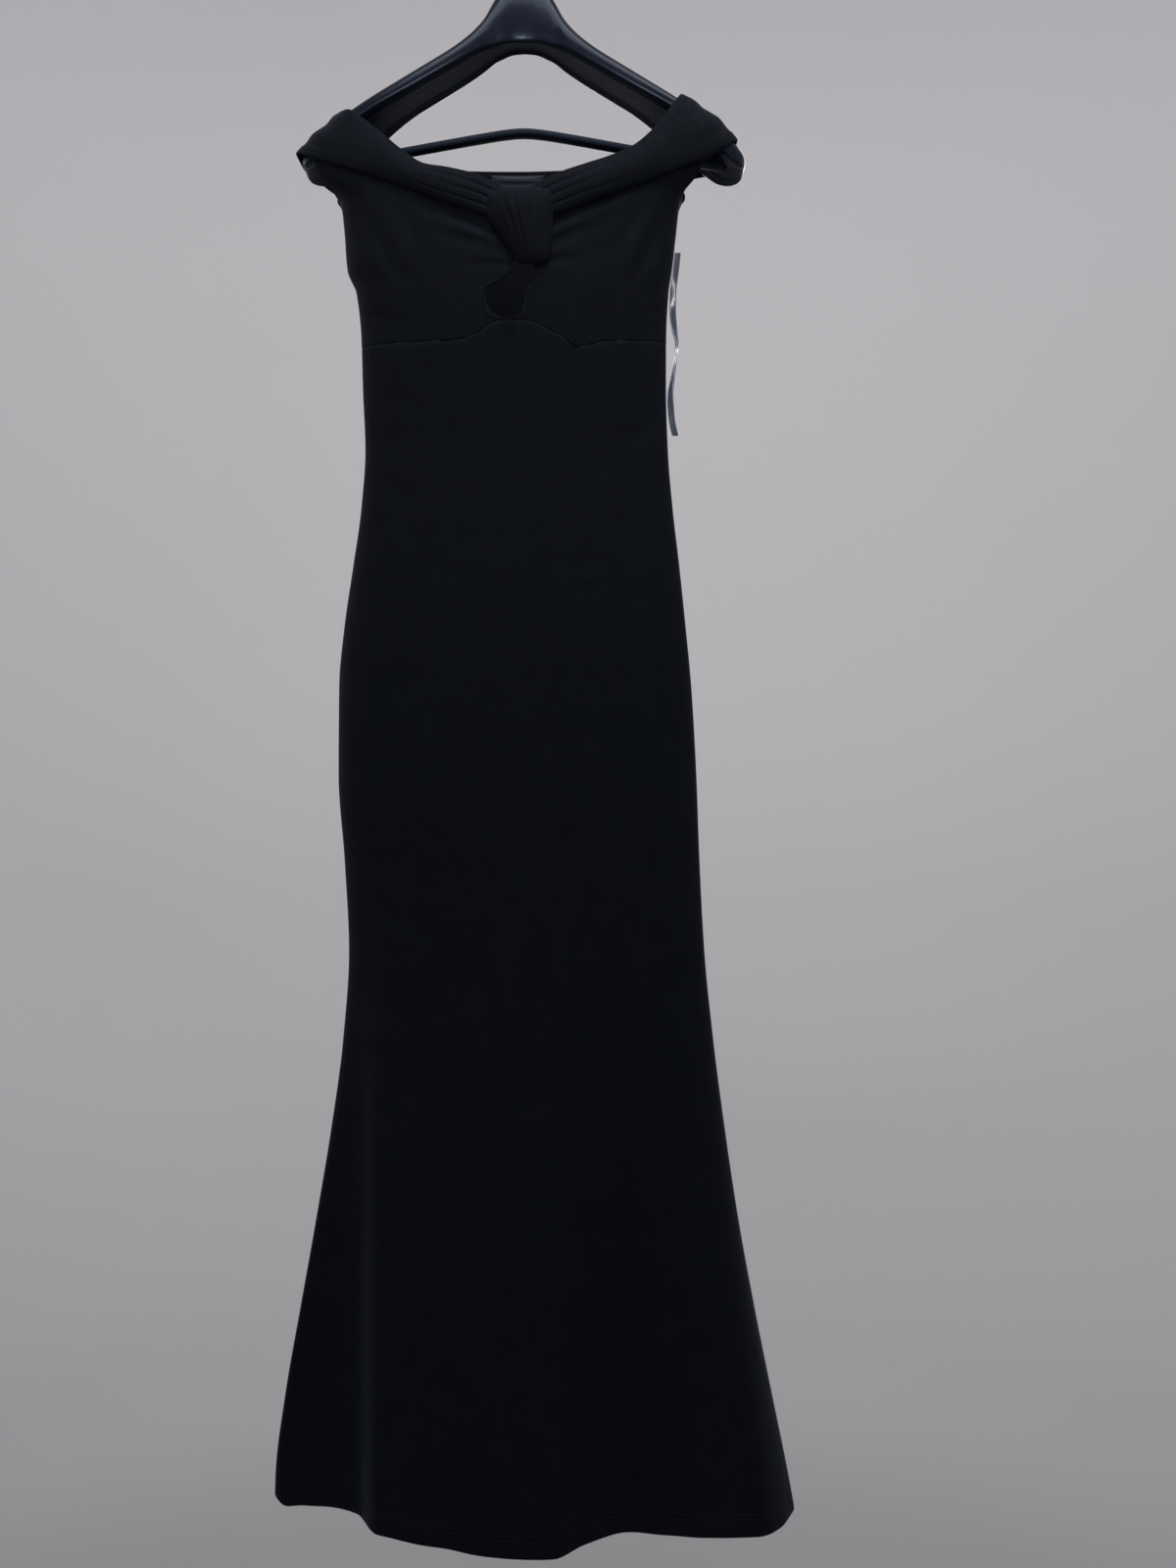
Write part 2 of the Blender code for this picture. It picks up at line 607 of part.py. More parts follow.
def build_band(name, stations, finish):
    """The band is a ruled strip between its two edges, rounded outwards as a soft roll."""
    knots = np.arange(len(stations))
    at = np.linspace(0, len(stations) - 1, BAND_STATIONS)
    neck = np.stack([smooth(at, knots, [s.neck[i] for s in stations]) for i in range(3)], axis=-1)
    lower = np.stack([smooth(at, knots, [s.lower[i] for s in stations]) for i in range(3)], axis=-1)
    rounding = smooth(at, knots, column(stations, "round"))
    share = np.linspace(0, 1, BAND_ROWS)[:, None, None]
    flat = neck + (lower - neck) * share
    outward = surface_normals(flat)
    if np.sum(outward * (flat - np.array(BANDS_CENTRE))) < 0:
        outward = -outward
    roll = np.clip(np.sin(np.pi * share), 0, 1) ** BAND_ROLL
    points = flat + outward * roll * rounding[:, None]
    wall(name, points, BAND_CLOTH, finish)


def build_knot(finish):
    """A soft wedge with a flat back. Slanting folds run down its front."""
    levels = np.linspace(KNOT[0].level, KNOT[-1].level, 13)
    turn = np.linspace(0, np.pi, 15)
    centre = read(KNOT, levels, "level", "centre")[:, None]
    half_width = read(KNOT, levels, "level", "half_width")[:, None]
    depth = read(KNOT, levels, "level", "depth")[:, None]
    fall = (levels[0] - levels)[:, None]
    fold = KNOT_FOLD_DEPTH * np.cos(2 * KNOT_FOLDS * turn + KNOT_TWIST * fall)
    reach = np.clip(np.sin(turn), 0, 1) ** KNOT_ROUNDING
    x = centre - half_width * np.cos(turn)
    y = KNOT_BACK - depth * reach - fold * reach * depth / max(column(KNOT, "depth"))
    z = levels[:, None] + 0 * x
    rings_to_mesh("knot", np.stack([x, y, z], axis=-1), finish)


def arm_sections(grow):
    """Sections of the hanger's frame from tip to tip, each grown outwards by the given length."""
    half = np.array([row.x for row in ARM])
    signed = np.concatenate([-half[:0:-1], half])
    place = np.abs(signed)
    top = read(ARM, place, "x", "top") + grow
    front = read(ARM, place, "x", "under_front") - grow
    back = read(ARM, place, "x", "under_back") - grow
    depth = read(ARM, place, "x", "depth") / 2 + grow
    corners = [(-c.out, c.up) for c in ARM_SECTION] + [(c.out, c.up) for c in ARM_SECTION[-2:0:-1]]
    out = np.array([c[0] for c in corners])
    up = np.array([c[1] for c in corners])
    under = (front + back)[:, None] / 2 + (back - front)[:, None] / 2 * out
    z = under + (top[:, None] - under) * up
    y = depth[:, None] * out
    x = np.broadcast_to(signed[:, None], z.shape)
    return np.stack([x, y, z], axis=-1)


def build_hanger_frame(finish):
    return rings_to_mesh("hanger_frame", arm_sections(0.0), finish)


def tube(name, path, frame_side, frame_up, finish):
    """A solid swept along a path: frame_side and frame_up are the section's offsets at each point."""
    sections = path[:, None, :] + frame_side + frame_up
    return rings_to_mesh(name, sections, finish)


def build_hanger_bar(finish):
    """An arch of a rounded strip, cut off at the arms it grows out of, a seam's gap away."""
    x = np.linspace(-BAR_REACH, BAR_REACH, 25)
    z = BAR_TOP_LEVEL - BAR_SLOPE * (np.hypot(x, BAR_ROUNDING) - BAR_ROUNDING)
    turn = np.linspace(0, 2 * np.pi, 10, endpoint=False) + np.pi / 10
    y = BAR_HALF_DEPTH * np.sign(np.cos(turn)) * np.abs(np.cos(turn)) ** BAR_ROUNDNESS
    up = BAR_HALF_HEIGHT * np.sign(np.sin(turn)) * np.abs(np.sin(turn)) ** BAR_ROUNDNESS
    points = np.stack(np.broadcast_arrays(x[:, None], y, z[:, None] + up), axis=-1)
    bar = rings_to_mesh("hanger_bar", points, finish)
    cutter = rings_to_mesh("arms_with_gap", arm_sections(2 * SEAM_GAP), finish)
    cutter.hide_render = True
    cutter.display_type = "WIRE"
    cut = bar.modifiers.new("cut_at_arms", "BOOLEAN")
    cut.operation = "DIFFERENCE"
    cut.object = cutter
    return bar


def build_hanger_hook(finish):
    """A ferrule, a straight shank and a round hook, all about the hanger's middle plane."""
    radius = HOOK_INNER_RADIUS + WIRE_RADIUS
    centre_z = -HOOK_INNER_RADIUS
    bottom = NECK_TOP + SEAM_GAP
    ferrule_top = bottom + FERRULE_LENGTH
    start = math.radians(HOOK_START_DEG)
    angles = np.radians(np.linspace(HOOK_START_DEG, HOOK_END_DEG, 24))
    arc = np.stack([radius * np.cos(angles), centre_z + radius * np.sin(angles)], axis=-1)
    tangent = np.array([-math.sin(start), math.cos(start)])
    bend_t = np.linspace(0, 1, 7)[:-1, None]
    shank_end = np.array([0.0, SHANK_TOP])
    from_shank = shank_end + np.array([0.0, HOOK_BEND_PULL])
    to_arc = arc[0] - tangent * HOOK_BEND_PULL
    bend = (
        (1 - bend_t) ** 3 * shank_end
        + 3 * (1 - bend_t) ** 2 * bend_t * from_shank
        + 3 * (1 - bend_t) * bend_t**2 * to_arc
        + bend_t**3 * arc[0]
    )
    low = [
        bottom,
        bottom + FERRULE_CHAMFER,
        ferrule_top - FERRULE_CHAMFER,
        ferrule_top,
        ferrule_top + FERRULE_SHOULDER,
    ]
    straight = np.array([[0.0, level] for level in low])
    path = np.concatenate([straight, bend, arc])
    radii = np.full(len(path), WIRE_RADIUS)
    chamfered = FERRULE_RADIUS - FERRULE_CHAMFER
    radii[: len(low) - 1] = [chamfered, FERRULE_RADIUS, FERRULE_RADIUS, chamfered]
    radii[-1] = WIRE_RADIUS * HOOK_END_ROUNDING
    along = np.gradient(path, axis=0)
    along[: len(low)] = (0.0, 1.0)
    along /= np.linalg.norm(along, axis=1, keepdims=True)
    turn = np.linspace(0, 2 * np.pi, 10, endpoint=False)
    across = np.stack([along[:, 1], 0 * along[:, 0], -along[:, 0]], axis=-1)
    middle = np.stack([path[:, 0], 0 * path[:, 0], path[:, 1]], axis=-1)
    side = across[:, None, :] * (radii[:, None] * np.cos(turn))[:, :, None]
    depth = np.array([0.0, 1.0, 0.0]) * (radii[:, None] * np.sin(turn))[:, :, None]
    return tube("hanger_hook", middle, side, depth, finish)


def build_neck_label(finish):
    """A flat label a seam's gap inside the back panel, made from that panel's own points."""
    x = LABEL_CENTRE + LABEL_WIDTH * np.linspace(-0.5, 0.5, 7)
    level = LABEL_TOP - LABEL_HEIGHT * np.linspace(0, 1, 3)[:, None]
    x, level = np.broadcast_arrays(x, level)
    middle = (ring(level, "left") + ring(level, "right")) / 2
    half = (ring(level, "right") - ring(level, "left")) / 2
    across = 0.5 + np.arcsin((x - middle) / half) / np.pi
    points = body_points(across, level, 1)
    points[..., 1] -= (CLOTH + LABEL_WALL) / 2 + SEAM_GAP
    wall("neck_label", points, LABEL_WALL, finish)


def build_hanger_loop(finish):
    """A flat strip that runs down beside the side seam, turns over and runs back up, both runs twisting as one."""
    levels = np.linspace(LOOP[0].level, LOOP[-1].level, LOOP_STATIONS)
    twist = np.radians(read(LOOP, levels, "level", "twist"))
    x = ring(levels, "right") + read(LOOP, levels, "level", "out")
    middle = np.stack([x, read(LOOP, levels, "level", "forward"), levels], axis=-1)
    width = np.stack([np.cos(twist), np.sin(twist), 0 * twist], axis=-1)
    apart = np.cross(width, np.gradient(middle, axis=0))
    apart *= LOOP_RUNS_APART / 2 / np.linalg.norm(apart, axis=1, keepdims=True)
    down = middle[-1] - middle[-2]
    down *= LOOP_RUNS_APART / 2 / np.linalg.norm(down)
    turn = np.radians(np.linspace(0, 180, 7)[1:-1])[:, None]
    bend = middle[-1] + apart[-1] * np.cos(turn) + down * np.sin(turn)
    path = np.concatenate([middle + apart, bend, (middle - apart)[::-1]])
    width = np.concatenate([width, np.repeat(width[-1:], len(turn), axis=0), width[::-1]])
    thin = np.cross(width, np.gradient(path, axis=0))
    thin /= np.linalg.norm(thin, axis=1, keepdims=True)
    across = np.array([-1, 1, 1, -1]) * LOOP_WIDTH / 2
    through = np.array([-1, -1, 1, 1]) * LOOP_WALL / 2
    side = width[:, None, :] * across[:, None]
    depth = thin[:, None, :] * through[:, None]
    return tube("hanger_loop", path, side, depth, finish)


def main():
    clear_scene()
    crepe = (0.006, 0.006, 0.008)
    build_front_skirt(material("front_skirt", crepe, 0.75))
    build_bust("bust_left", material("bust_left", crepe, 0.75))
    build_bust("bust_right", material("bust_right", crepe, 0.75))
    build_back_panel(material("back_panel", crepe, 0.75))
    build_band("band_left", BAND_LEFT, material("band_left", crepe, 0.75))
    build_band("band_right", BAND_RIGHT, material("band_right", crepe, 0.75))
    build_knot(material("knot", crepe, 0.75))
    build_neck_label(material("neck_label", (0.012, 0.012, 0.014), 0.35))
    build_hanger_loop(material("hanger_loop", (0.70, 0.76, 0.85), 0.15, alpha=0.45))
    build_hanger_frame(material("hanger_frame", (0.010, 0.011, 0.016), 0.22))
    build_hanger_bar(material("hanger_bar", (0.010, 0.011, 0.016), 0.25))
    build_hanger_hook(material("hanger_hook", (0.62, 0.62, 0.64), 0.18, metallic=1.0))


main()
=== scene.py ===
"""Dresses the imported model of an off-the-shoulder maxi dress on a wide-shouldered hanger.

Lengths are metres. The origin is the inside top of the hanger's hook, +Z is up, +X is to the right
of a person who looks at the dress's front, and the front faces -Y. The dress hangs as a flattened
tube. "across" is a place round one half of the tube, 0 at the left side seam and 1 at the right
one. "level" is a height, which is negative because everything hangs below the hook.
"""

from __future__ import annotations

import functools
import json
import logging
import math
from dataclasses import dataclass
from enum import Enum
from typing import NamedTuple, Sequence

import bpy
import numpy as np
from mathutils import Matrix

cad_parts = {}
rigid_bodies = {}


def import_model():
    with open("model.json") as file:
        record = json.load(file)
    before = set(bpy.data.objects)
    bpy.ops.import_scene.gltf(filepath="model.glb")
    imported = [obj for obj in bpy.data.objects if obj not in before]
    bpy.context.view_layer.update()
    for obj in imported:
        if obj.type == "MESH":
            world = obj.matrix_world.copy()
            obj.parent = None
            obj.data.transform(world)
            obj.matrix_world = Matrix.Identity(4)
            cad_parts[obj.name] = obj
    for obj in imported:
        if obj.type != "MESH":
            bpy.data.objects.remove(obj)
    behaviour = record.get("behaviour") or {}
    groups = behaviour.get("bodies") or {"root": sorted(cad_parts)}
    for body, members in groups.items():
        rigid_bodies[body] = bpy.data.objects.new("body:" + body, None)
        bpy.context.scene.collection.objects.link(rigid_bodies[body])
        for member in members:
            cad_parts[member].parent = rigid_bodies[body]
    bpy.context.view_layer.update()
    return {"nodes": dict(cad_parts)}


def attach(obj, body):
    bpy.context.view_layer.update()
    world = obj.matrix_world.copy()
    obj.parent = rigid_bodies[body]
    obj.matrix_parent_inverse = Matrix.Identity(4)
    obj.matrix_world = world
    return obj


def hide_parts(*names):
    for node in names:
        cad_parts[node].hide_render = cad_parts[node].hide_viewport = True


Array = np.ndarray
Object = bpy.types.Object
Socket = bpy.types.NodeSocket
Pair = tuple[float, float]
Triple = tuple[float, float, float]
Settings = tuple[tuple[str, object], ...]
LOG = logging.getLogger("maxi_dress")
BODY = "root"
PICTURE_HEIGHT_PX = 1600

# The colour mix's sockets: its factor, its two colours, and its result. They share their names with
# the number mix's.
MIX_SOCKETS = (0, 6, 7, 2)

# How far a stitch's middle line lies off the cloth's face.
STITCH_LIFT = 0.0001

# The steps of a turned-up hem's half circle.
HEM_TURN_DEG = (30.0, 60.0, 90.0, 120.0, 150.0, 180.0)


class Half(Enum):
    """A half of the dress's tube, with the sign of Y on its outer side."""

    FRONT = -1
    BACK = 1


class Side(Enum):
    """A side of the dress as a person sees it who looks at its front."""

    LEFT = "left"
    RIGHT = "right"


class Fade(Enum):
    """Where along its line a crease is deep."""

    OUT = "deep at its start"
    IN = "deep at its end"
    BOTH = "deep in its middle"


class Slot(Enum):
    """The record's material slots."""

    CREPE = "crepe"
    SATIN = "satin"
    ELASTIC = "clear_elastic"
    PLASTIC = "hanger_plastic"
    WIRE = "hook_wire"


# ==== Curves and surfaces ====


def table(kind: type, *rows: tuple) -> tuple:
    """Plain rows as rows of a named kind."""
    return tuple(kind(*row) for row in rows)


def smoothstep(share: Array) -> Array:
    """Three times the square less twice the cube of a share held between 0 and 1.

    Args:
        share: Any numbers.

    Returns:
        Numbers that rise softly from 0 to 1.
    """
    held = np.clip(share, 0.0, 1.0)
    return held * held * (3.0 - 2.0 * held)


def limited_cubic(at: Array, knots: Sequence[float], values: Sequence[float]) -> Array:
    """A curve of cubic pieces through knots, with slopes limited so that it never overshoots them.

    The slope at a knot is the weighted harmonic mean of the slopes beside it, or 0 where they
    differ in sign.

    Args:
        at: Where to read the curve.
        knots: The knots' places, rising or falling.
        values: The curve's value at each knot.

    Returns:
        The curve's values, as many as there are places.
    """
    places = np.asarray(knots, float)
    levels = np.asarray(values, float)
    if places[0] > places[-1]:
        places = places[::-1]
        levels = levels[::-1]
    where = np.clip(np.asarray(at, float), places[0], places[-1])
    step = np.diff(places)
    rise = np.diff(levels) / step
    slope = np.zeros_like(levels)
    same_way = rise[1:] * rise[:-1] > 0
    before = np.where(same_way, rise[:-1], 1.0)
    after = np.where(same_way, rise[1:], 1.0)
    weight_before = 2 * step[1:] + step[:-1]
    weight_after = step[1:] + 2 * step[:-1]
    mean = (weight_before + weight_after) / (weight_before / before + weight_after / after)
    slope[1:-1] = np.where(same_way, mean, 0.0)
    slope[0] = rise[0]
    slope[-1] = rise[-1]
    index = np.clip(np.searchsorted(places, where, side="right") - 1, 0, len(step) - 1)
    span = step[index]
    share = (where - places[index]) / span
    ease = smoothstep(share)
    leave = share * (1 - share) ** 2
    arrive = share * share * (share - 1)
    start = levels[index] * (1 - ease) + levels[index + 1] * ease
    return start + span * (slope[index] * leave + slope[index + 1] * arrive)


def read(rows: Sequence[NamedTuple], at: Array, key: str, name: str) -> Array:
    """Reads one column of a table against another as a smooth curve.

    Args:
        rows: The table.
        at: Where to read it, in the key column's terms.
        key: The column that is read against.
        name: The column that is read.

    Returns:
        The column's value at each place.
    """
    knots = [getattr(row, key) for row in rows]
    return limited_cubic(at, knots, [getattr(row, name) for row in rows])


def superellipse(share: Array, square: Array) -> Array:
    """The n-th root of 1 less the n-th power of a share, where n is how square the curve is."""
    return np.clip(1 - np.abs(share) ** square, 0, 1) ** (1 / square)


def share_between(x: Array, left: Array | float, right: Array | float) -> Array:
    """How far a place lies from the middle of two others, -1 at the left one and 1 at the right."""
    return (x - (left + right) / 2) / ((right - left) / 2)


def full_turn(count: int) -> Array:
    """Angles at even steps round a full turn."""
    return np.linspace(0, 2 * np.pi, count, endpoint=False)


def run_along(line: Array) -> Array:
    """How far each point of a line lies from its start, measured along it."""
    return np.concatenate([[0.0], np.cumsum(np.linalg.norm(np.diff(line, axis=0), axis=1))])


def squared_off(wave: Array, power: float) -> Array:
    """A sine or cosine with its size raised to a power, which squares off a round section."""
    return np.sign(wave) * np.abs(wave) ** power


def unit(vectors: Array) -> Array:
    """Vectors of length 1 along the given ones.

    Args:
        vectors: An array with x, y and z last.

    Returns:
        The same directions, each divided by its length.
    """
    return vectors / np.maximum(np.linalg.norm(vectors, axis=-1, keepdims=True), 1e-12)


def grid_normals(points: Array) -> Array:
    """Normals of a grid: the cross product of its differences along the columns and along the rows.

    Args:
        points: A grid of points, rows by columns by 3.

    Returns:
        A unit vector for each point, along +Y where rows run down and columns run towards +X.
    """
    down = np.gradient(points, axis=0)
    over = np.gradient(points, axis=1)
    return unit(np.cross(over, down))


def grid_quads(rows: int, columns: int, closed: bool = False) -> Array:
    """Faces of a grid of points.

    Args:
        rows: How many rows of points there are.
        columns: How many columns.
        closed: True if the last column joins the first.

    Returns:
        Four point numbers for each face.
    """
    index = np.arange(rows * columns).reshape(rows, columns)
    if closed:
        index = np.concatenate([index, index[:, :1]], axis=1)
    corners = (index[:-1, :-1], index[1:, :-1], index[1:, 1:], index[:-1, 1:])
    return np.stack(corners, axis=-1).reshape(-1, 4)


class Surface(NamedTuple):
    """Points with the four-sided and three-sided faces between them."""

    points: Array
    quads: Array
    triangles: Array = np.zeros((0, 3), int)

    def volume(self) -> float:
        """Sum over all triangles of the first corner dotted with the others' cross product.

        Returns:
            Six times the volume that the faces shut in, below 0 if they face inwards.
        """
        fans = [self.quads[:, [0, 1, 2]], self.quads[:, [0, 2, 3]], self.triangles]
        first, second, third = (self.points[np.concatenate(fans)[:, i]] for i in range(3))
        return float((first * np.cross(second, third)).sum())

    def outwards(self) -> Surface:
        """The same surface with its faces turned outwards.

        Returns:
            This surface, or one whose faces name their corners in the opposite order.
        """
        if self.volume() >= 0:
            return self
        return Surface(self.points, self.quads[:, ::-1], self.triangles[:, ::-1])


def joined(surfaces: Sequence[Surface]) -> Surface:
    """Several surfaces as one.

    Args:
        surfaces: The surfaces, each with point numbers of its own.

    Returns:
        One surface with all of their points and faces.
    """
    shift = np.cumsum([0] + [len(s.points) for s in surfaces[:-1]])
    return Surface(
        np.concatenate([s.points for s in surfaces]),
        np.concatenate([s.quads + n for s, n in zip(surfaces, shift)]),
        np.concatenate([s.triangles + n for s, n in zip(surfaces, shift)]),
    )


def cloth_wall(
    points: Array, outward: Array, thickness: float, relief: Array | float = 0.0
) -> Surface:
    """A closed wall of cloth on both sides of a grid, with a rounded rim.

    The outer side is the grid moved out by half the thickness and the relief, and the inner side is
    the grid moved in by half the thickness. The rim's middle is the grid's edge moved away from the
    cloth.

    Args:
        points: The cloth's middle, rows by columns by 3.
        outward: A unit vector out of the cloth at each point.
        thickness: The wall's thickness.
        relief: How far the outer side alone stands out further, at each point.

    Returns:
        The closed wall.
    """
    rows, columns, _ = points.shape
    extra = np.asarray(relief)[..., None]
    outer = (points + outward * (thickness / 2 + extra)).reshape(-1, 3)
    inner = (points - outward * thickness / 2).reshape(-1, 3)
    index = np.arange(rows * columns).reshape(rows, columns)
    edge = np.concatenate([index[0, :-1], index[:-1, -1], index[-1, :0:-1], index[:0:-1, 0]])
    row, place = np.divmod(edge, columns)
    inside = np.clip(row, 1, rows - 2) * columns + np.clip(place, 1, columns - 2)
    flat = points.reshape(-1, 3)
    out = outward.reshape(-1, 3)[edge]
    away = flat[edge] - flat[inside]
    away = unit(away - out * (away * out).sum(-1, keepdims=True))
    rim = flat[edge] + away * thickness / 2
    count = rows * columns
    quads = grid_quads(rows, columns)
    middle = 2 * count + np.arange(len(edge))
    after = np.roll(np.arange(len(edge)), -1)
    outer_rim = np.stack([edge, edge[after], middle[after], middle], axis=-1)
    inner_rim = np.stack([middle, middle[after], edge[after] + count, edge + count], axis=-1)
    every = np.concatenate([quads, quads[:, ::-1] + count, outer_rim, inner_rim])
    return Surface(np.concatenate([outer, inner, rim]), every).outwards()


def swept(sections: Array) -> Surface:
    """A closed solid through a row of closed sections, shut at each end by a fan round its middle.

    Args:
        sections: Points of each section in turn, sections by points by 3.

    Returns:
        The closed surface.
    """
    count, around, _ = sections.shape
    ends = sections[[0, -1]].mean(axis=1)
    quads = grid_quads(count, around, closed=True)
    here = np.arange(around)
    after = np.roll(here, -1)
    first = count * around
    last = (count - 1) * around
    start_fan = np.stack([np.full(around, first), here, after], axis=-1)
    end_fan = np.stack([np.full(around, first + 1), last + after, last + here], axis=-1)
    points = np.concatenate([sections.reshape(-1, 3), ends])
    return Surface(points, quads, np.concatenate([start_fan, end_fan])).outwards()


def turned_up(points: Array, outward: Array, depth_rows: int, radius: float) -> Array:
    """Adds a hem to the last row of a grid: rows that turn inwards and run back behind the cloth.

    The turn is half a circle of the given radius, from the cloth's own way down to its inner side,
    and the rows that run back are the last rows of the grid moved in by twice the radius.

    Args:
        points: The cloth's middle, rows by columns by 3, whose last row is the edge.
        outward: A unit vector out of the cloth at each point.
        depth_rows: How many rows the hem runs back over.
        radius: The turn's radius.

    Returns:
        The grid with the hem's rows added.
    """
    angles = np.radians(HEM_TURN_DEG)[:, None, None]
    down = unit(points[-1] - points[-2])
    turn = points[-1] + radius * (np.sin(angles) * down - (1 - np.cos(angles)) * outward[-1])
    back = points[-2 : -2 - depth_rows : -1] - 2 * radius * outward[-2 : -2 - depth_rows : -1]
    return np.concatenate([points, turn, back])


class Crease(NamedTuple):
    """A soft trough in the cloth along a bowed line, or a ridge where its depth is negative."""

    from_x: float
    from_level: float
    to_x: float
    to_level: float
    width: float
    depth: float
    fade: Fade = Fade.BOTH
    bow: float = 0.0


def crease_relief(x: Array, level: Array, creases: Sequence[Crease]) -> Array:
    """How far the creases move the cloth out, below 0 in a trough.

    Across its line a crease is a wave: 1 less twice the square, times the bell, of the distance
    over its width, so that soft ridges stand beside a trough. Along its line it swells or fades,
    and past its ends it dies away like a bell.

    Args:
        x: Each point's place to the side.
        level: Each point's height.
        creases: The creases.

    Returns:
        The relief at each point.
    """
    total = np.zeros(np.broadcast(x, level).shape)
    for crease in creases:
        way = np.array([crease.to_x - crease.from_x, crease.to_level - crease.from_level])
        length = float(np.hypot(*way))
        way = way / length
        dx = x - crease.from_x
        dz = level - crease.from_level
        run = (dx * way[0] + dz * way[1]) / length
        held = np.clip(run, 0.0, 1.0)
        off = dx * way[1] - dz * way[0] - crease.bow * 4 * held * (1 - held)
        past = (np.maximum(run - 1, 0) + np.maximum(-run, 0)) * length / crease.width
        swell = {
            Fade.OUT: 1 - smoothstep(held),
            Fade.IN: smoothstep(held),
            Fade.BOTH: np.sin(np.pi * held),
        }[crease.fade]
        q = (off / crease.width) ** 2
        total -= crease.depth * swell * np.exp(-(past**2)) * (1 - 2 * q) * np.exp(-q)
    return total


# ==== The form of the dress's body ====


class Ring(NamedTuple):
    """One level of the tube: its side seams, its depth in each half, and how square it is."""

    level: float
    left: float
    right: float
    front: float
    back: float
    square: float


class Fold(NamedTuple):
    """How far the hem stands from the middle plane at a place along it."""

    x: float
    depth: float


class Edge(NamedTuple):
    """A point of a seam line or free edge on the tube."""

    across: float
    level: float


class Ends(NamedTuple):
    """Where the two bust panels end at a level."""

    level: float
    left: float
    right: float


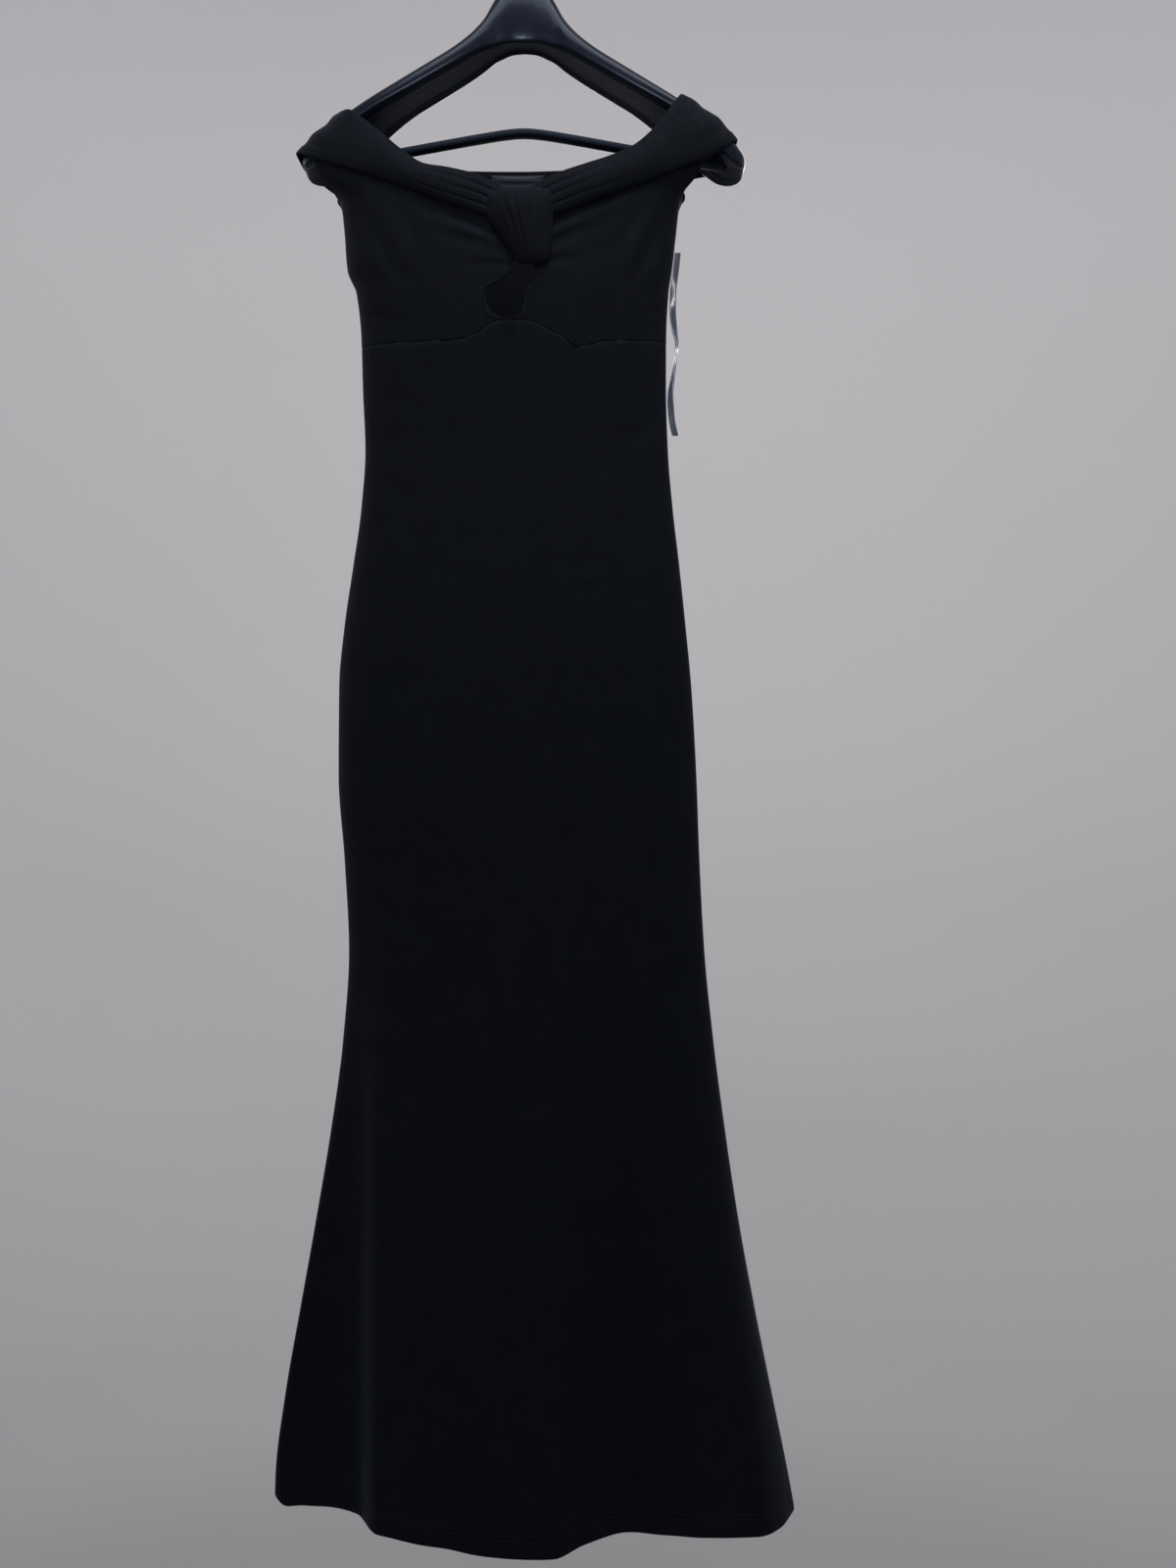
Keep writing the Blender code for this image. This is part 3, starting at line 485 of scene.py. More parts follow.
@dataclass(frozen=True)
class BodyForm:
    """The flattened tube that the dress's panels are cut from, and its seam lines."""

    rings: tuple[Ring, ...] = table(
        Ring,
        (-0.230, -0.2200, 0.2080, 0.0310, 0.0310, 5.0),
        (-0.256, -0.2120, 0.1850, 0.0320, 0.0310, 5.0),
        (-0.273, -0.2010, 0.1700, 0.0330, 0.0310, 4.7),
        (-0.285, -0.1862, 0.1560, 0.0338, 0.0308, 4.3),
        (-0.294, -0.1793, 0.1525, 0.0342, 0.0304, 4.0),
        (-0.319, -0.1763, 0.1495, 0.0345, 0.0295, 3.3),
        (-0.356, -0.1736, 0.1452, 0.0340, 0.0280, 3.0),
        (-0.378, -0.1650, 0.1420, 0.0335, 0.0270, 2.8),
        (-0.424, -0.1602, 0.1398, 0.0305, 0.0240, 2.6),
        (-0.471, -0.1589, 0.1396, 0.0270, 0.0225, 2.6),
        (-0.533, -0.1565, 0.1415, 0.0250, 0.0220, 2.6),
        (-0.591, -0.1605, 0.1463, 0.0260, 0.0230, 2.6),
        (-0.649, -0.1686, 0.1530, 0.0275, 0.0250, 2.6),
        (-0.707, -0.1770, 0.1590, 0.0290, 0.0270, 2.6),
        (-0.765, -0.1822, 0.1645, 0.0300, 0.0280, 2.6),
        (-0.852, -0.1828, 0.1695, 0.0305, 0.0280, 2.6),
        (-0.940, -0.1766, 0.1728, 0.0300, 0.0270, 2.6),
        (-1.027, -0.1725, 0.1775, 0.0300, 0.0270, 2.6),
        (-1.114, -0.1783, 0.1862, 0.0305, 0.0275, 2.6),
        (-1.201, -0.1899, 0.1975, 0.0320, 0.0285, 2.6),
        (-1.288, -0.2044, 0.2105, 0.0335, 0.0295, 2.6),
        (-1.376, -0.2200, 0.2265, 0.0350, 0.0305, 2.6),
        (-1.463, -0.2352, 0.2440, 0.0360, 0.0315, 2.6),
        (-1.540, -0.2448, 0.2597, 0.0365, 0.0320, 2.6),
        (-1.600, -0.2465, 0.2705, 0.0365, 0.0320, 2.6),
    )
    front_folds: tuple[Fold, ...] = table(
        Fold,
        (-0.2465, 0.0), (-0.193, 0.006), (-0.162, 0.016), (-0.138, 0.045), (-0.076, 0.051),
        (0.03, 0.049), (0.06, 0.03), (0.095, 0.021), (0.138, 0.035), (0.175, 0.046), (0.225, 0.05),
        (0.25, 0.042), (0.27, 0.0),
    )
    back_folds: tuple[Fold, ...] = table(
        Fold,
        (-0.2465, 0.0), (-0.215, 0.027), (-0.16, 0.036), (-0.1, 0.02), (-0.04, 0.036),
        (0.02, 0.041), (0.08, 0.024), (0.14, 0.034), (0.21, 0.038), (0.245, 0.028), (0.27, 0.0),
    )
    underbust: tuple[Edge, ...] = table(
        Edge,
        (0.0, -0.431), (0.15, -0.4335), (0.37, -0.433), (0.41, -0.4295), (0.46, -0.4165),
        (0.49, -0.4135), (0.53, -0.4145), (0.6, -0.4285), (0.64, -0.439), (0.7, -0.433),
        (0.85, -0.43), (1.0, -0.428),
    )
    bust_top: tuple[Edge, ...] = table(
        Edge,
        (0.09, -0.261), (0.13, -0.26), (0.19, -0.2635), (0.24, -0.27), (0.29, -0.2785),
        (0.335, -0.287), (0.39, -0.2975), (0.44, -0.306), (0.519, -0.311), (0.58, -0.3045),
        (0.67, -0.289), (0.755, -0.274), (0.815, -0.263), (0.9, -0.252),
    )
    back_top: tuple[Edge, ...] = table(
        Edge,
        (0.0, -0.2925), (0.04, -0.2865), (0.128, -0.272), (0.22, -0.26), (0.262, -0.245),
        (0.3, -0.2415), (0.5, -0.243), (0.67, -0.24), (0.715, -0.242), (0.76, -0.253),
        (0.85, -0.264), (0.96, -0.285), (1.0, -0.287),
    )
    armholes: tuple[Ends, ...] = table(
        Ends,
        (-0.2935, 0.0, 1.0), (-0.29, 0.018, 1.0), (-0.2875, 0.03, 0.998), (-0.283, 0.048, 0.965),
        (-0.273, 0.072, 0.935), (-0.252, 0.095, 0.9),
    )
    keyhole: tuple[Ends, ...] = table(
        Ends,
        (-0.4135, 0.49, 0.49), (-0.411, 0.47, 0.5115), (-0.405, 0.4539, 0.5251),
        (-0.395, 0.4462, 0.5283), (-0.385, 0.4518, 0.5325), (-0.377, 0.4822, 0.5471),
        (-0.37, 0.5, 0.553), (-0.36, 0.5063, 0.5461), (-0.353, 0.5195, 0.5195),
        (-0.3, 0.5195, 0.5195),
    )
    seam_meets: float = 0.49
    folds_start: float = -0.93
    folds_full: float = -1.57
    side_sharpness: int = 14
    hem: float = -1.5705
    hem_dip: float = 0.0265
    hem_dip_x: float = 0.012
    hem_dip_width: float = 0.12
    hem_right_drop: float = 0.006
    hem_back_rise: float = 0.004
    hem_back_dip: float = 0.4
    left_corner_rise: float = 0.010
    right_corner_rise: float = 0.002
    corner_width: float = 0.0083

    def ring(self, level: Array, name: str) -> Array:
        """One measure of the tube at each level."""
        return read(self.rings, level, "level", name)

    def line(self, rows: Sequence[Edge], across: Array) -> Array:
        """The level of a seam line or free edge at each place across."""
        return read(rows, across, "across", "level")

    def reach(self, across: Array) -> Array:
        """How far a place lies from the middle, from -1 at the left seam to 1 at the right."""
        return np.sin(np.pi * (across - 0.5))

    def inside(self, across: Array) -> Array:
        """1 on the panel's face and 0 at its side seams, where two panels have to meet."""
        return 1 - np.abs(self.reach(across)) ** self.side_sharpness

    def plain(self, across: Array, level: Array, half: Half) -> Array:
        """The tube without folds: a superellipse at each level.

        Args:
            across: Places round the half.
            level: Heights, which match the places.
            half: The front or the back.

        Returns:
            Points, with x, y and z last.
        """
        left, right = self.ring(level, "left"), self.ring(level, "right")
        depth = self.ring(level, "front" if half is Half.FRONT else "back")
        sideways = self.reach(across)
        x = (left + right) / 2 + (right - left) / 2 * sideways
        y = half.value * depth * superellipse(sideways, self.ring(level, "square"))
        return np.stack(np.broadcast_arrays(x, y, level), axis=-1)

    def points(self, across: Array, level: Array, half: Half) -> Array:
        """The tube with the hem's folds, which grow from nothing above the knees.

        Args:
            across: Places round the half.
            level: Heights, which match the places.
            half: The front or the back.

        Returns:
            Points, with x, y and z last.
        """
        made = self.plain(across, level, half)
        folds = self.front_folds if half is Half.FRONT else self.back_folds
        bottom = self.rings[-1]
        depth = bottom.front if half is Half.FRONT else bottom.back
        share = share_between(made[..., 0], bottom.left, bottom.right)
        plain = depth * superellipse(share, bottom.square)
        change = read(folds, made[..., 0], "x", "depth") - plain
        down = smoothstep((self.folds_start - level) / (self.folds_start - self.folds_full))
        made[..., 1] += half.value * change * down * self.inside(across)
        return made

    def outward(self, points: Array, across: Array, half: Half) -> Array:
        """Unit vectors out of the cloth, held level with the middle plane at the side seams.

        Args:
            points: The cloth, rows by columns by 3.
            across: Each column's place round the half, or each point's.
            half: The front or the back.

        Returns:
            A unit vector for each point.
        """
        normals = half.value * grid_normals(points)
        on_seam = (across <= 0) | (across >= 1)
        normals[..., 1] = np.where(on_seam, 0.0, normals[..., 1])
        return unit(normals)

    def hem_level(self, x: Array, half: Half) -> Array:
        """The hem's height along X: it dips in the middle, and its corners rise or drop.

        Args:
            x: Places to the side.
            half: The front or the back.

        Returns:
            The height at each place.
        """
        bottom = self.rings[-1]
        dip = self.hem_dip * np.exp(-(((x - self.hem_dip_x) / self.hem_dip_width) ** 2))
        from_left = np.maximum(x - bottom.left, 0) / self.corner_width
        from_right = np.maximum(bottom.right - x, 0) / self.corner_width
        corner = self.left_corner_rise * np.exp(-(from_left**2))
        corner = corner + self.right_corner_rise * np.exp(-(from_right**2))
        drop = self.hem_right_drop * np.clip(x / bottom.right, 0, 1)
        if half is Half.FRONT:
            return self.hem - dip + corner - drop
        return self.hem - self.hem_back_dip * dip + corner - drop + self.hem_back_rise


# ==== Finishes ====


class Grain(NamedTuple):
    """A noise of so many waves a metre, which may be stretched along an axis."""

    scale: float
    detail: float
    roughness: float = 0.5
    stretch: Triple = (1.0, 1.0, 1.0)


class Bump(NamedTuple):
    """A grain that stands out of the face by so many metres, at so much strength."""

    grain: Grain
    distance: float
    strength: float


@dataclass
class Shader:
    """A material under construction, with short ways to add and join nodes."""

    name: str

    def __post_init__(self) -> None:
        """Makes the material and finds its Principled shader."""
        self.material = bpy.data.materials.new(self.name)
        self.material.use_nodes = True
        self.principled = self.material.node_tree.nodes["Principled BSDF"]
        self.grains: dict[Grain, Socket] = {}

    def feed(self, node: bpy.types.Node, feeds: dict[str | int, object]) -> None:
        """Gives a node's inputs their values, or joins them to other nodes' outputs.

        Args:
            node: The node.
            feeds: A value or an output socket for each input, by name or number.
        """
        for key, value in feeds.items():
            if isinstance(value, Socket):
                self.material.node_tree.links.new(value, node.inputs[key])
            else:
                node.inputs[key].default_value = value

    def node(
        self, kind: str, output: str | int, feeds: dict[str | int, object], **options: str
    ) -> Socket:
        """Adds a node.

        Args:
            kind: Blender's name for the node, without its first word.
            output: The output that is wanted.
            feeds: A value or an output socket for each input.
            **options: Values for the node's own settings.

        Returns:
            The node's output socket.
        """
        made = self.material.node_tree.nodes.new(f"ShaderNode{kind}")
        for name, value in options.items():
            setattr(made, name, value)
        self.feed(made, feeds)
        return made.outputs[output]

    def noise(self, grain: Grain) -> Socket:
        """A grain over the object's own coordinates, made once.

        Args:
            grain: The grain.

        Returns:
            Its numbers, which lie about a half.
        """
        if grain not in self.grains:
            own = self.node("TexCoord", "Object", {})
            places = self.node("Mapping", "Vector", {"Vector": own, "Scale": grain.stretch})
            sizes = {"Scale": grain.scale, "Detail": grain.detail, "Roughness": grain.roughness}
            self.grains[grain] = self.node("TexNoise", "Fac", {"Vector": places, **sizes})
        return self.grains[grain]

    def attribute(self, name: str) -> Socket:
        """The numbers that a mesh keeps under a name."""
        return self.node("Attribute", "Fac", {}, attribute_name=name)

    def ramp(self, source: Socket, span: Pair, ends: Pair) -> Socket:
        """Numbers within a span, stretched to two ends.

        Args:
            source: The numbers.
            span: The lowest and highest that matter.
            ends: What they become.

        Returns:
            The stretched numbers.
        """
        wanted = {"From Min": span[0], "From Max": span[1], "To Min": ends[0], "To Max": ends[1]}
        return self.node("MapRange", "Result", {"Value": source, **wanted})

    def mix(self, source: Socket, first: Triple, second: Triple) -> Socket:
        """Mixes two colours.

        Args:
            source: Numbers from 0 to 1.
            first: The colour at 0.
            second: The colour at 1.

        Returns:
            The mixed colour.
        """
        factor, first_colour, second_colour, result = MIX_SOCKETS
        feeds = {factor: source, first_colour: (*first, 1.0), second_colour: (*second, 1.0)}
        return self.node("Mix", result, feeds, data_type="RGBA")


@dataclass(frozen=True)
class Finish:
    """A procedural finish, whose colour and roughness each vary with a grain.

    Where its gloss has two ends, its mesh's "polish" attribute says how glossy it is at each place.
    """

    name: str
    dark: Triple
    light: Triple
    colour_grain: Grain
    rough: Pair
    rough_grain: Grain
    settings: Settings
    bumps: tuple[Bump, ...] = ()
    colour_span: Pair = (0.0, 1.0)
    gloss: Pair | None = None
    waves: Pair = (0.25, 0.75)

    def build(self) -> bpy.types.Material:
        """Makes the material.

        Returns:
            The material.
        """
        shader = Shader(self.name)
        colour = shader.ramp(shader.noise(self.colour_grain), self.colour_span, (0.0, 1.0))
        feeds = dict(self.settings)
        feeds["Base Color"] = shader.mix(colour, self.dark, self.light)
        feeds["Roughness"] = shader.ramp(shader.noise(self.rough_grain), self.waves, self.rough)
        if self.gloss is not None:
            polish = shader.attribute("polish")
            feeds["Specular IOR Level"] = shader.ramp(polish, (0.0, 1.0), self.gloss)
        for bump in self.bumps:
            under = {"Normal": feeds["Normal"]} if "Normal" in feeds else {}
            height = {"Height": shader.noise(bump.grain)}
            sizes = {"Distance": bump.distance, "Strength": bump.strength}
            feeds["Normal"] = shader.node("Bump", "Normal", {**height, **sizes, **under})
        shader.feed(shader.principled, feeds)
        return shader.material


@dataclass(frozen=True)
class CrepeFinish(Finish):
    """Matte black stretch crepe: a pebbled face with fine upright slubs and a cool sheen."""

    name: str = "black_crepe"
    dark: Triple = (0.0014, 0.0018, 0.0032)
    light: Triple = (0.0026, 0.0032, 0.0050)
    colour_grain: Grain = Grain(38.0, 4.0, 0.6)
    colour_span: Pair = (0.25, 0.75)
    rough: Pair = (0.70, 0.86)
    rough_grain: Grain = Grain(420.0, 3.0, 0.55, (1.0, 1.0, 0.16))
    bumps: tuple[Bump, ...] = (
        Bump(Grain(420.0, 3.0, 0.55, (1.0, 1.0, 0.16)), 0.00025, 0.5),
        Bump(Grain(1500.0, 2.0, 0.6), 0.00012, 0.6),
    )
    settings: Settings = (
        ("Sheen Weight", 0.060),
        ("Sheen Roughness", 0.35),
        ("Sheen Tint", (0.60, 0.76, 1.0, 1.0)),
        ("Specular IOR Level", 0.11),
        ("Specular Tint", (0.58, 0.72, 1.0, 1.0)),
    )


@dataclass(frozen=True)
class SatinFinish(Finish):
    """Black satin ribbon: smooth across, with a fine weave and a broad gloss."""

    name: str = "black_satin"
    dark: Triple = (0.0030, 0.0032, 0.0046)
    light: Triple = (0.0060, 0.0064, 0.0088)
    colour_grain: Grain = Grain(2600.0, 2.0, 0.5, (1.0, 1.0, 0.05))
    rough: Pair = (0.30, 0.42)
    rough_grain: Grain = Grain(2200.0, 2.0, 0.5, (0.08, 1.0, 1.0))
    bumps: tuple[Bump, ...] = (Bump(Grain(2200.0, 2.0, 0.5, (0.08, 1.0, 1.0)), 0.00004, 0.4),)
    settings: Settings = (
        ("Specular IOR Level", 0.21),
        ("Specular Tint", (0.60, 0.72, 1.0, 1.0)),
    )


@dataclass(frozen=True)
class ThreadFinish(Finish):
    """Black polyester sewing thread with a soft twist."""

    name: str = "black_thread"
    dark: Triple = (0.0018, 0.0022, 0.0036)
    light: Triple = (0.0034, 0.0040, 0.0060)
    colour_grain: Grain = Grain(3200.0, 1.0)
    rough: Pair = (0.40, 0.62)
    rough_grain: Grain = Grain(3200.0, 1.0)
    settings: Settings = (("Specular IOR Level", 0.16),)


@dataclass(frozen=True)
class PlasticFinish(Finish):
    """Black moulded plastic with a faint orange-peel face and light handling scuffs."""

    name: str = "black_plastic"
    dark: Triple = (0.0050, 0.0072, 0.0125)
    light: Triple = (0.0075, 0.0105, 0.0175)
    colour_grain: Grain = Grain(42.0, 6.0, 0.7)
    rough: Pair = (0.16, 0.24)
    rough_grain: Grain = Grain(42.0, 6.0, 0.7)
    bumps: tuple[Bump, ...] = (Bump(Grain(70.0, 2.0), 0.00020, 0.25),)
    gloss: Pair | None = (0.012, 0.20)
    settings: Settings = (("Specular Tint", (0.60, 0.74, 1.0, 1.0)),)


@dataclass(frozen=True)
class BarFinish(PlasticFinish):
    """The same plastic, rubbed dull all over as on the trouser bar."""

    name: str = "black_bar_plastic"
    rough: Pair = (0.44, 0.56)


@dataclass(frozen=True)
class WireFinish(Finish):
    """Polished steel wire with fine drawing marks."""

    name: str = "polished_wire"
    dark: Triple = (0.52, 0.52, 0.54)
    light: Triple = (0.66, 0.66, 0.68)
    colour_grain: Grain = Grain(1800.0, 3.0, 0.5, (1.0, 1.0, 0.2))
    rough: Pair = (0.12, 0.24)
    rough_grain: Grain = Grain(1800.0, 3.0, 0.5, (1.0, 1.0, 0.2))
    settings: Settings = (("Metallic", 1.0),)


@dataclass(frozen=True)
class ElasticFinish(Finish):
    """Clear elastic tape: see-through, glossy and slightly ribbed along its length."""

    name: str = "clear_elastic_tape"
    dark: Triple = (0.145, 0.160, 0.200)
    light: Triple = (0.085, 0.096, 0.125)
    colour_grain: Grain = Grain(120.0, 3.0)
    rough: Pair = (0.10, 0.26)
    rough_grain: Grain = Grain(120.0, 3.0)
    bumps: tuple[Bump, ...] = (Bump(Grain(900.0, 2.0, 0.5, (1.0, 1.0, 0.1)), 0.0001, 0.4),)
    settings: Settings = (
        ("Transmission Weight", 0.75),
        ("IOR", 1.42),
        ("Specular IOR Level", 0.4),
    )


@dataclass(frozen=True)
class BackdropFinish:
    """Matte backdrop with painted shade: a mesh attribute says how pale it is at each place."""

    name: str = "backdrop_painted_shade"
    low: Triple = (0.0, 0.0, 0.0)
    high: Triple = (1.0, 0.985, 0.985)
    rough: float = 0.9
    gloss: float = 0.1

    def build(self) -> bpy.types.Material:
        """Makes the material.

        Returns:
            The material.
        """
        shader = Shader(self.name)
        # The base colour is painted shade, from black to near white as the attribute says.
        painted_shade = shader.mix(shader.attribute("painted_shade"), self.low, self.high)
        values = {"Roughness": self.rough, "Specular IOR Level": self.gloss, "Base Color": painted_shade}
        shader.feed(shader.principled, values)
        return shader.material


@functools.cache
def material_of(finish: Finish | BackdropFinish) -> bpy.types.Material:
    """A finish's material, made once and shared by the pieces."""
    return finish.build()


def linked(name: str, data: bpy.types.ID) -> Object:
    """Puts an object with its data into the scene.

    Args:
        name: The object's name.
        data: Its mesh, light or camera.

    Returns:
        The object.
    """
    made = bpy.data.objects.new(name, data)
    bpy.context.scene.collection.objects.link(made)
    return made


def plain_object(name: str, surface: Surface, finish: Finish | BackdropFinish) -> Object:
    """Puts a surface into the scene, smooth shaded.

    Args:
        name: The object's name.
        surface: Its points and faces.
        finish: Its finish.

    Returns:
        The object.
    """
    mesh = bpy.data.meshes.new(name)
    corners = np.concatenate([surface.quads.ravel(), surface.triangles.ravel()])
    quads, triangles = len(surface.quads), len(surface.triangles)
    starts = np.concatenate([4 * np.arange(quads), 4 * quads + 3 * np.arange(triangles)])
    mesh.vertices.add(len(surface.points))
    mesh.vertices.foreach_set("co", surface.points.astype(np.float32).ravel())
    mesh.loops.add(len(corners))
    mesh.loops.foreach_set("vertex_index", corners.astype(np.int32))
    mesh.polygons.add(len(starts))
    mesh.polygons.foreach_set("loop_start", starts.astype(np.int32))
    mesh.update(calc_edges=True)
    mesh.validate()
    mesh.shade_smooth()
    mesh.materials.append(material_of(finish))
    return linked(name, mesh)


def named_values(mesh: bpy.types.Mesh, name: str, values: Array) -> None:
    """Keeps one number for each point of a mesh under a name that a finish can read.

    Args:
        mesh: The mesh.
        name: The attribute's name.
        values: One number for each point.
    """
    kept = mesh.attributes.new(name, "FLOAT", "POINT")
    kept.data.foreach_set("value", np.asarray(values, dtype=np.float32))


def add_piece(
    name: str,
    surface: Surface,
    finish: Finish,
    slot: Slot,
    node: str | None = None,
    sharp_deg: float | None = None,
) -> Object:
    """Puts a surface into the scene as a piece of the object.

    Args:
        name: The piece's name.
        surface: Its points and faces.
        finish: Its finish.
        slot: Not used.
        node: The CAD node that it replaces, if there is one.
        sharp_deg: Edges that turn by more than this are kept sharp.

    Returns:
        The piece, at the origin and riding on the body.
    """
    made = plain_object(name, surface, finish)
    if sharp_deg is not None:
        made.data.set_sharp_from_angle(angle=math.radians(sharp_deg))
    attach(made, BODY)
    if node is not None:
        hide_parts(node)
    LOG.info("%s: %d points, %d faces", name, len(surface.points), len(made.data.polygons))
    return made


# ==== Sewing ====


@dataclass(frozen=True)
class Stitching:
    """A row of straight stitches: each is a short capsule of thread that lies on the cloth."""

    pitch: float = 0.0030
    length: float = 0.0024
    radius: float = 0.00022
    sides: int = 6
    shoulders: tuple[float, ...] = (-0.90, -0.60, 0.60, 0.90)
    fullness: tuple[float, ...] = (0.62, 1.0, 1.0, 0.62)

    def capsule(self) -> Surface:
        """One stitch along the first axis: rings of thread between two points.

        Returns:
            The stitch, with its two points last.
        """
        turn = full_turn(self.sides)
        ring = np.stack([0 * turn, np.cos(turn), np.sin(turn)], axis=-1)
        sections = ring * (np.array(self.fullness) * self.radius)[:, None, None]
        sections[..., 0] = (np.array(self.shoulders) * self.length / 2)[:, None]
        made = swept(sections)
        made.points[-2:, 0] = -self.length / 2, self.length / 2
        return made

    def along(self, path: Array, outward: Array) -> Surface:
        """Stitches at even steps along a path.

        Args:
            path: Points on the cloth's outer side.
            outward: A unit vector out of the cloth at each of them.

        Returns:
            All the stitches as one surface.
        """
        run = run_along(path)
        centres = np.arange(self.pitch / 2, run[-1] - self.pitch / 2, self.pitch)

        def at(values: Array, where: Array) -> Array:
            """Values along the path, read at distances along it."""
            return np.stack([np.interp(where, run, values[:, i]) for i in range(3)], axis=-1)

        middle = at(path, centres)
        way = unit(at(path, centres + self.length / 2) - at(path, centres - self.length / 2))
        out = at(outward, centres)
        out = unit(out - way * (out * way).sum(-1, keepdims=True))
        over = np.cross(way, out)
        stitch = self.capsule()
        axes = np.stack([way, out, over], axis=1)
        points = middle[:, None, :] + np.einsum("pa,nax->npx", stitch.points, axes)
        shift = np.arange(len(middle))[:, None, None] * len(stitch.points)
        return Surface(
            points.reshape(-1, 3),
            (stitch.quads[None] + shift).reshape(-1, 4),
            (stitch.triangles[None] + shift).reshape(-1, 3),
        )


def sew(
    name: str,
    cloth: tuple[Array, Array, float],
    paths: Sequence[tuple],
    slot: Slot = Slot.CREPE,
    stitching: Stitching = Stitching(),
) -> Object:
    """Sews rows of stitches onto a cloth's outer side.

    Args:
        name: The piece's name.
        cloth: The cloth's middle surface, a unit vector out of it at each point, and its thickness.
        paths: The part of the grid that each row of stitches runs along.
        slot: Handed on to add_piece, which doesn't use it.
        stitching: The kind of stitches.

    Returns:
        The stitches as one piece.
    """
    points, outward, thickness = cloth
    on_face = points + outward * (thickness / 2 + STITCH_LIFT)
    rows = [stitching.along(on_face[path], outward[path]) for path in paths]
    return add_piece(name, joined(rows), ThreadFinish(), slot)


# ==== The dress ====


@dataclass
class Panel:
    """What the body's panels share: the form they lie on, their half and their cloth."""

    form: BodyForm
    half: Half = Half.FRONT
    cloth: float = 0.0011

    def creased(
        self, across: Array, level: Array, creases: Sequence[Crease], relief: Array
    ) -> Array:
        """The form's points moved out by the creases, but not at the side seams, and by a relief.

        Args:
            across: Places round the half.
            level: Heights.
            creases: The panel's creases.
            relief: A further relief, such as a seam's groove.

        Returns:
            The cloth's middle, rows by columns by 3.
        """
        base = self.form.points(across, level, self.half)
        wave = crease_relief(base[..., 0], base[..., 2], creases) * self.form.inside(across)
        return base + self.form.outward(base, across, self.half) * (wave + relief)[..., None]

    def add_cloth(self, name: str, node: str, points: Array, across: Array) -> Object:
        """Puts a panel into the scene as a wall of crepe.

        Args:
            name: The piece's name.
            node: The CAD node that it replaces.
            points: The cloth's middle, with its hems.
            across: Each column's place round the half, or each point's.

        Returns:
            The panel.
        """
        outward = self.form.outward(points, across, self.half)
        wall = cloth_wall(points, outward, self.cloth)
        return add_piece(name, wall, CrepeFinish(), Slot.CREPE, node)


@dataclass
class LongPanel(Panel):
    """A panel that hangs from a line round the body down to a turned-up hem.

    Its seam with the panel above lies in a groove: a bell of the distance from the seam's level.
    """

    name: str = ""
    node: str = ""
    columns: int = 150
    rows: int = 225
    row_bunching: float = 1.0
    hem_rows: int = 5
    hem_radius: float = 0.0010
    stitch_inset: int = 2
    facing_rows: int = 0
    neck_skip: int = 34
    seam_depth: float = 0.0
    seam_width: float = 0.0030
    flat: Pair = (0.0, 0.0)
    flat_area: float = 0.0
    creases: tuple[Crease, ...] = ()

    def top_line(self) -> tuple[Edge, ...]:
        """The line that the panel hangs from."""
        return self.form.underbust

    def build(self) -> Object:
        """Makes the panel with its hem, its facing if it has one, and their stitches.

        Returns:
            The panel.
        """
        across = np.linspace(0, 1, self.columns + 1)
        down = (np.linspace(0, 1, self.rows + 1) ** self.row_bunching)[:, None]
        top = self.form.line(self.top_line(), across)
        at_hem = self.form.plain(across, np.full_like(across, self.form.hem), self.half)[..., 0]
        level = top + (self.form.hem_level(at_hem, self.half) - top) * down
        groove = -self.seam_depth * np.exp(-(((level - top) / self.seam_width) ** 2))
        points = self.creased(across, level, self.creases, groove)
        outward = self.form.outward(points, across, self.half)
        hemmed = turned_up(points, outward, self.hem_rows, self.hem_radius)
        if self.facing_rows:
            facing = self.form.outward(hemmed, across, self.half)[::-1]
            hemmed = turned_up(hemmed[::-1], facing, self.facing_rows, self.hem_radius)[::-1]
        piece = self.add_cloth(self.name, self.node, hemmed, across)
        inner = slice(self.stitch_inset, -self.stitch_inset)
        paths = [(-self.hem_rows, inner), (1 - self.hem_rows, inner)]
        cloth = (points, outward, self.cloth)
        sew(f"hem_stitches_{self.half.name.lower()}", cloth, paths)
        if self.facing_rows:
            neck = slice(self.neck_skip, -self.neck_skip)
            sew("neck_stitches", cloth, [(self.facing_rows, neck)])
        return piece


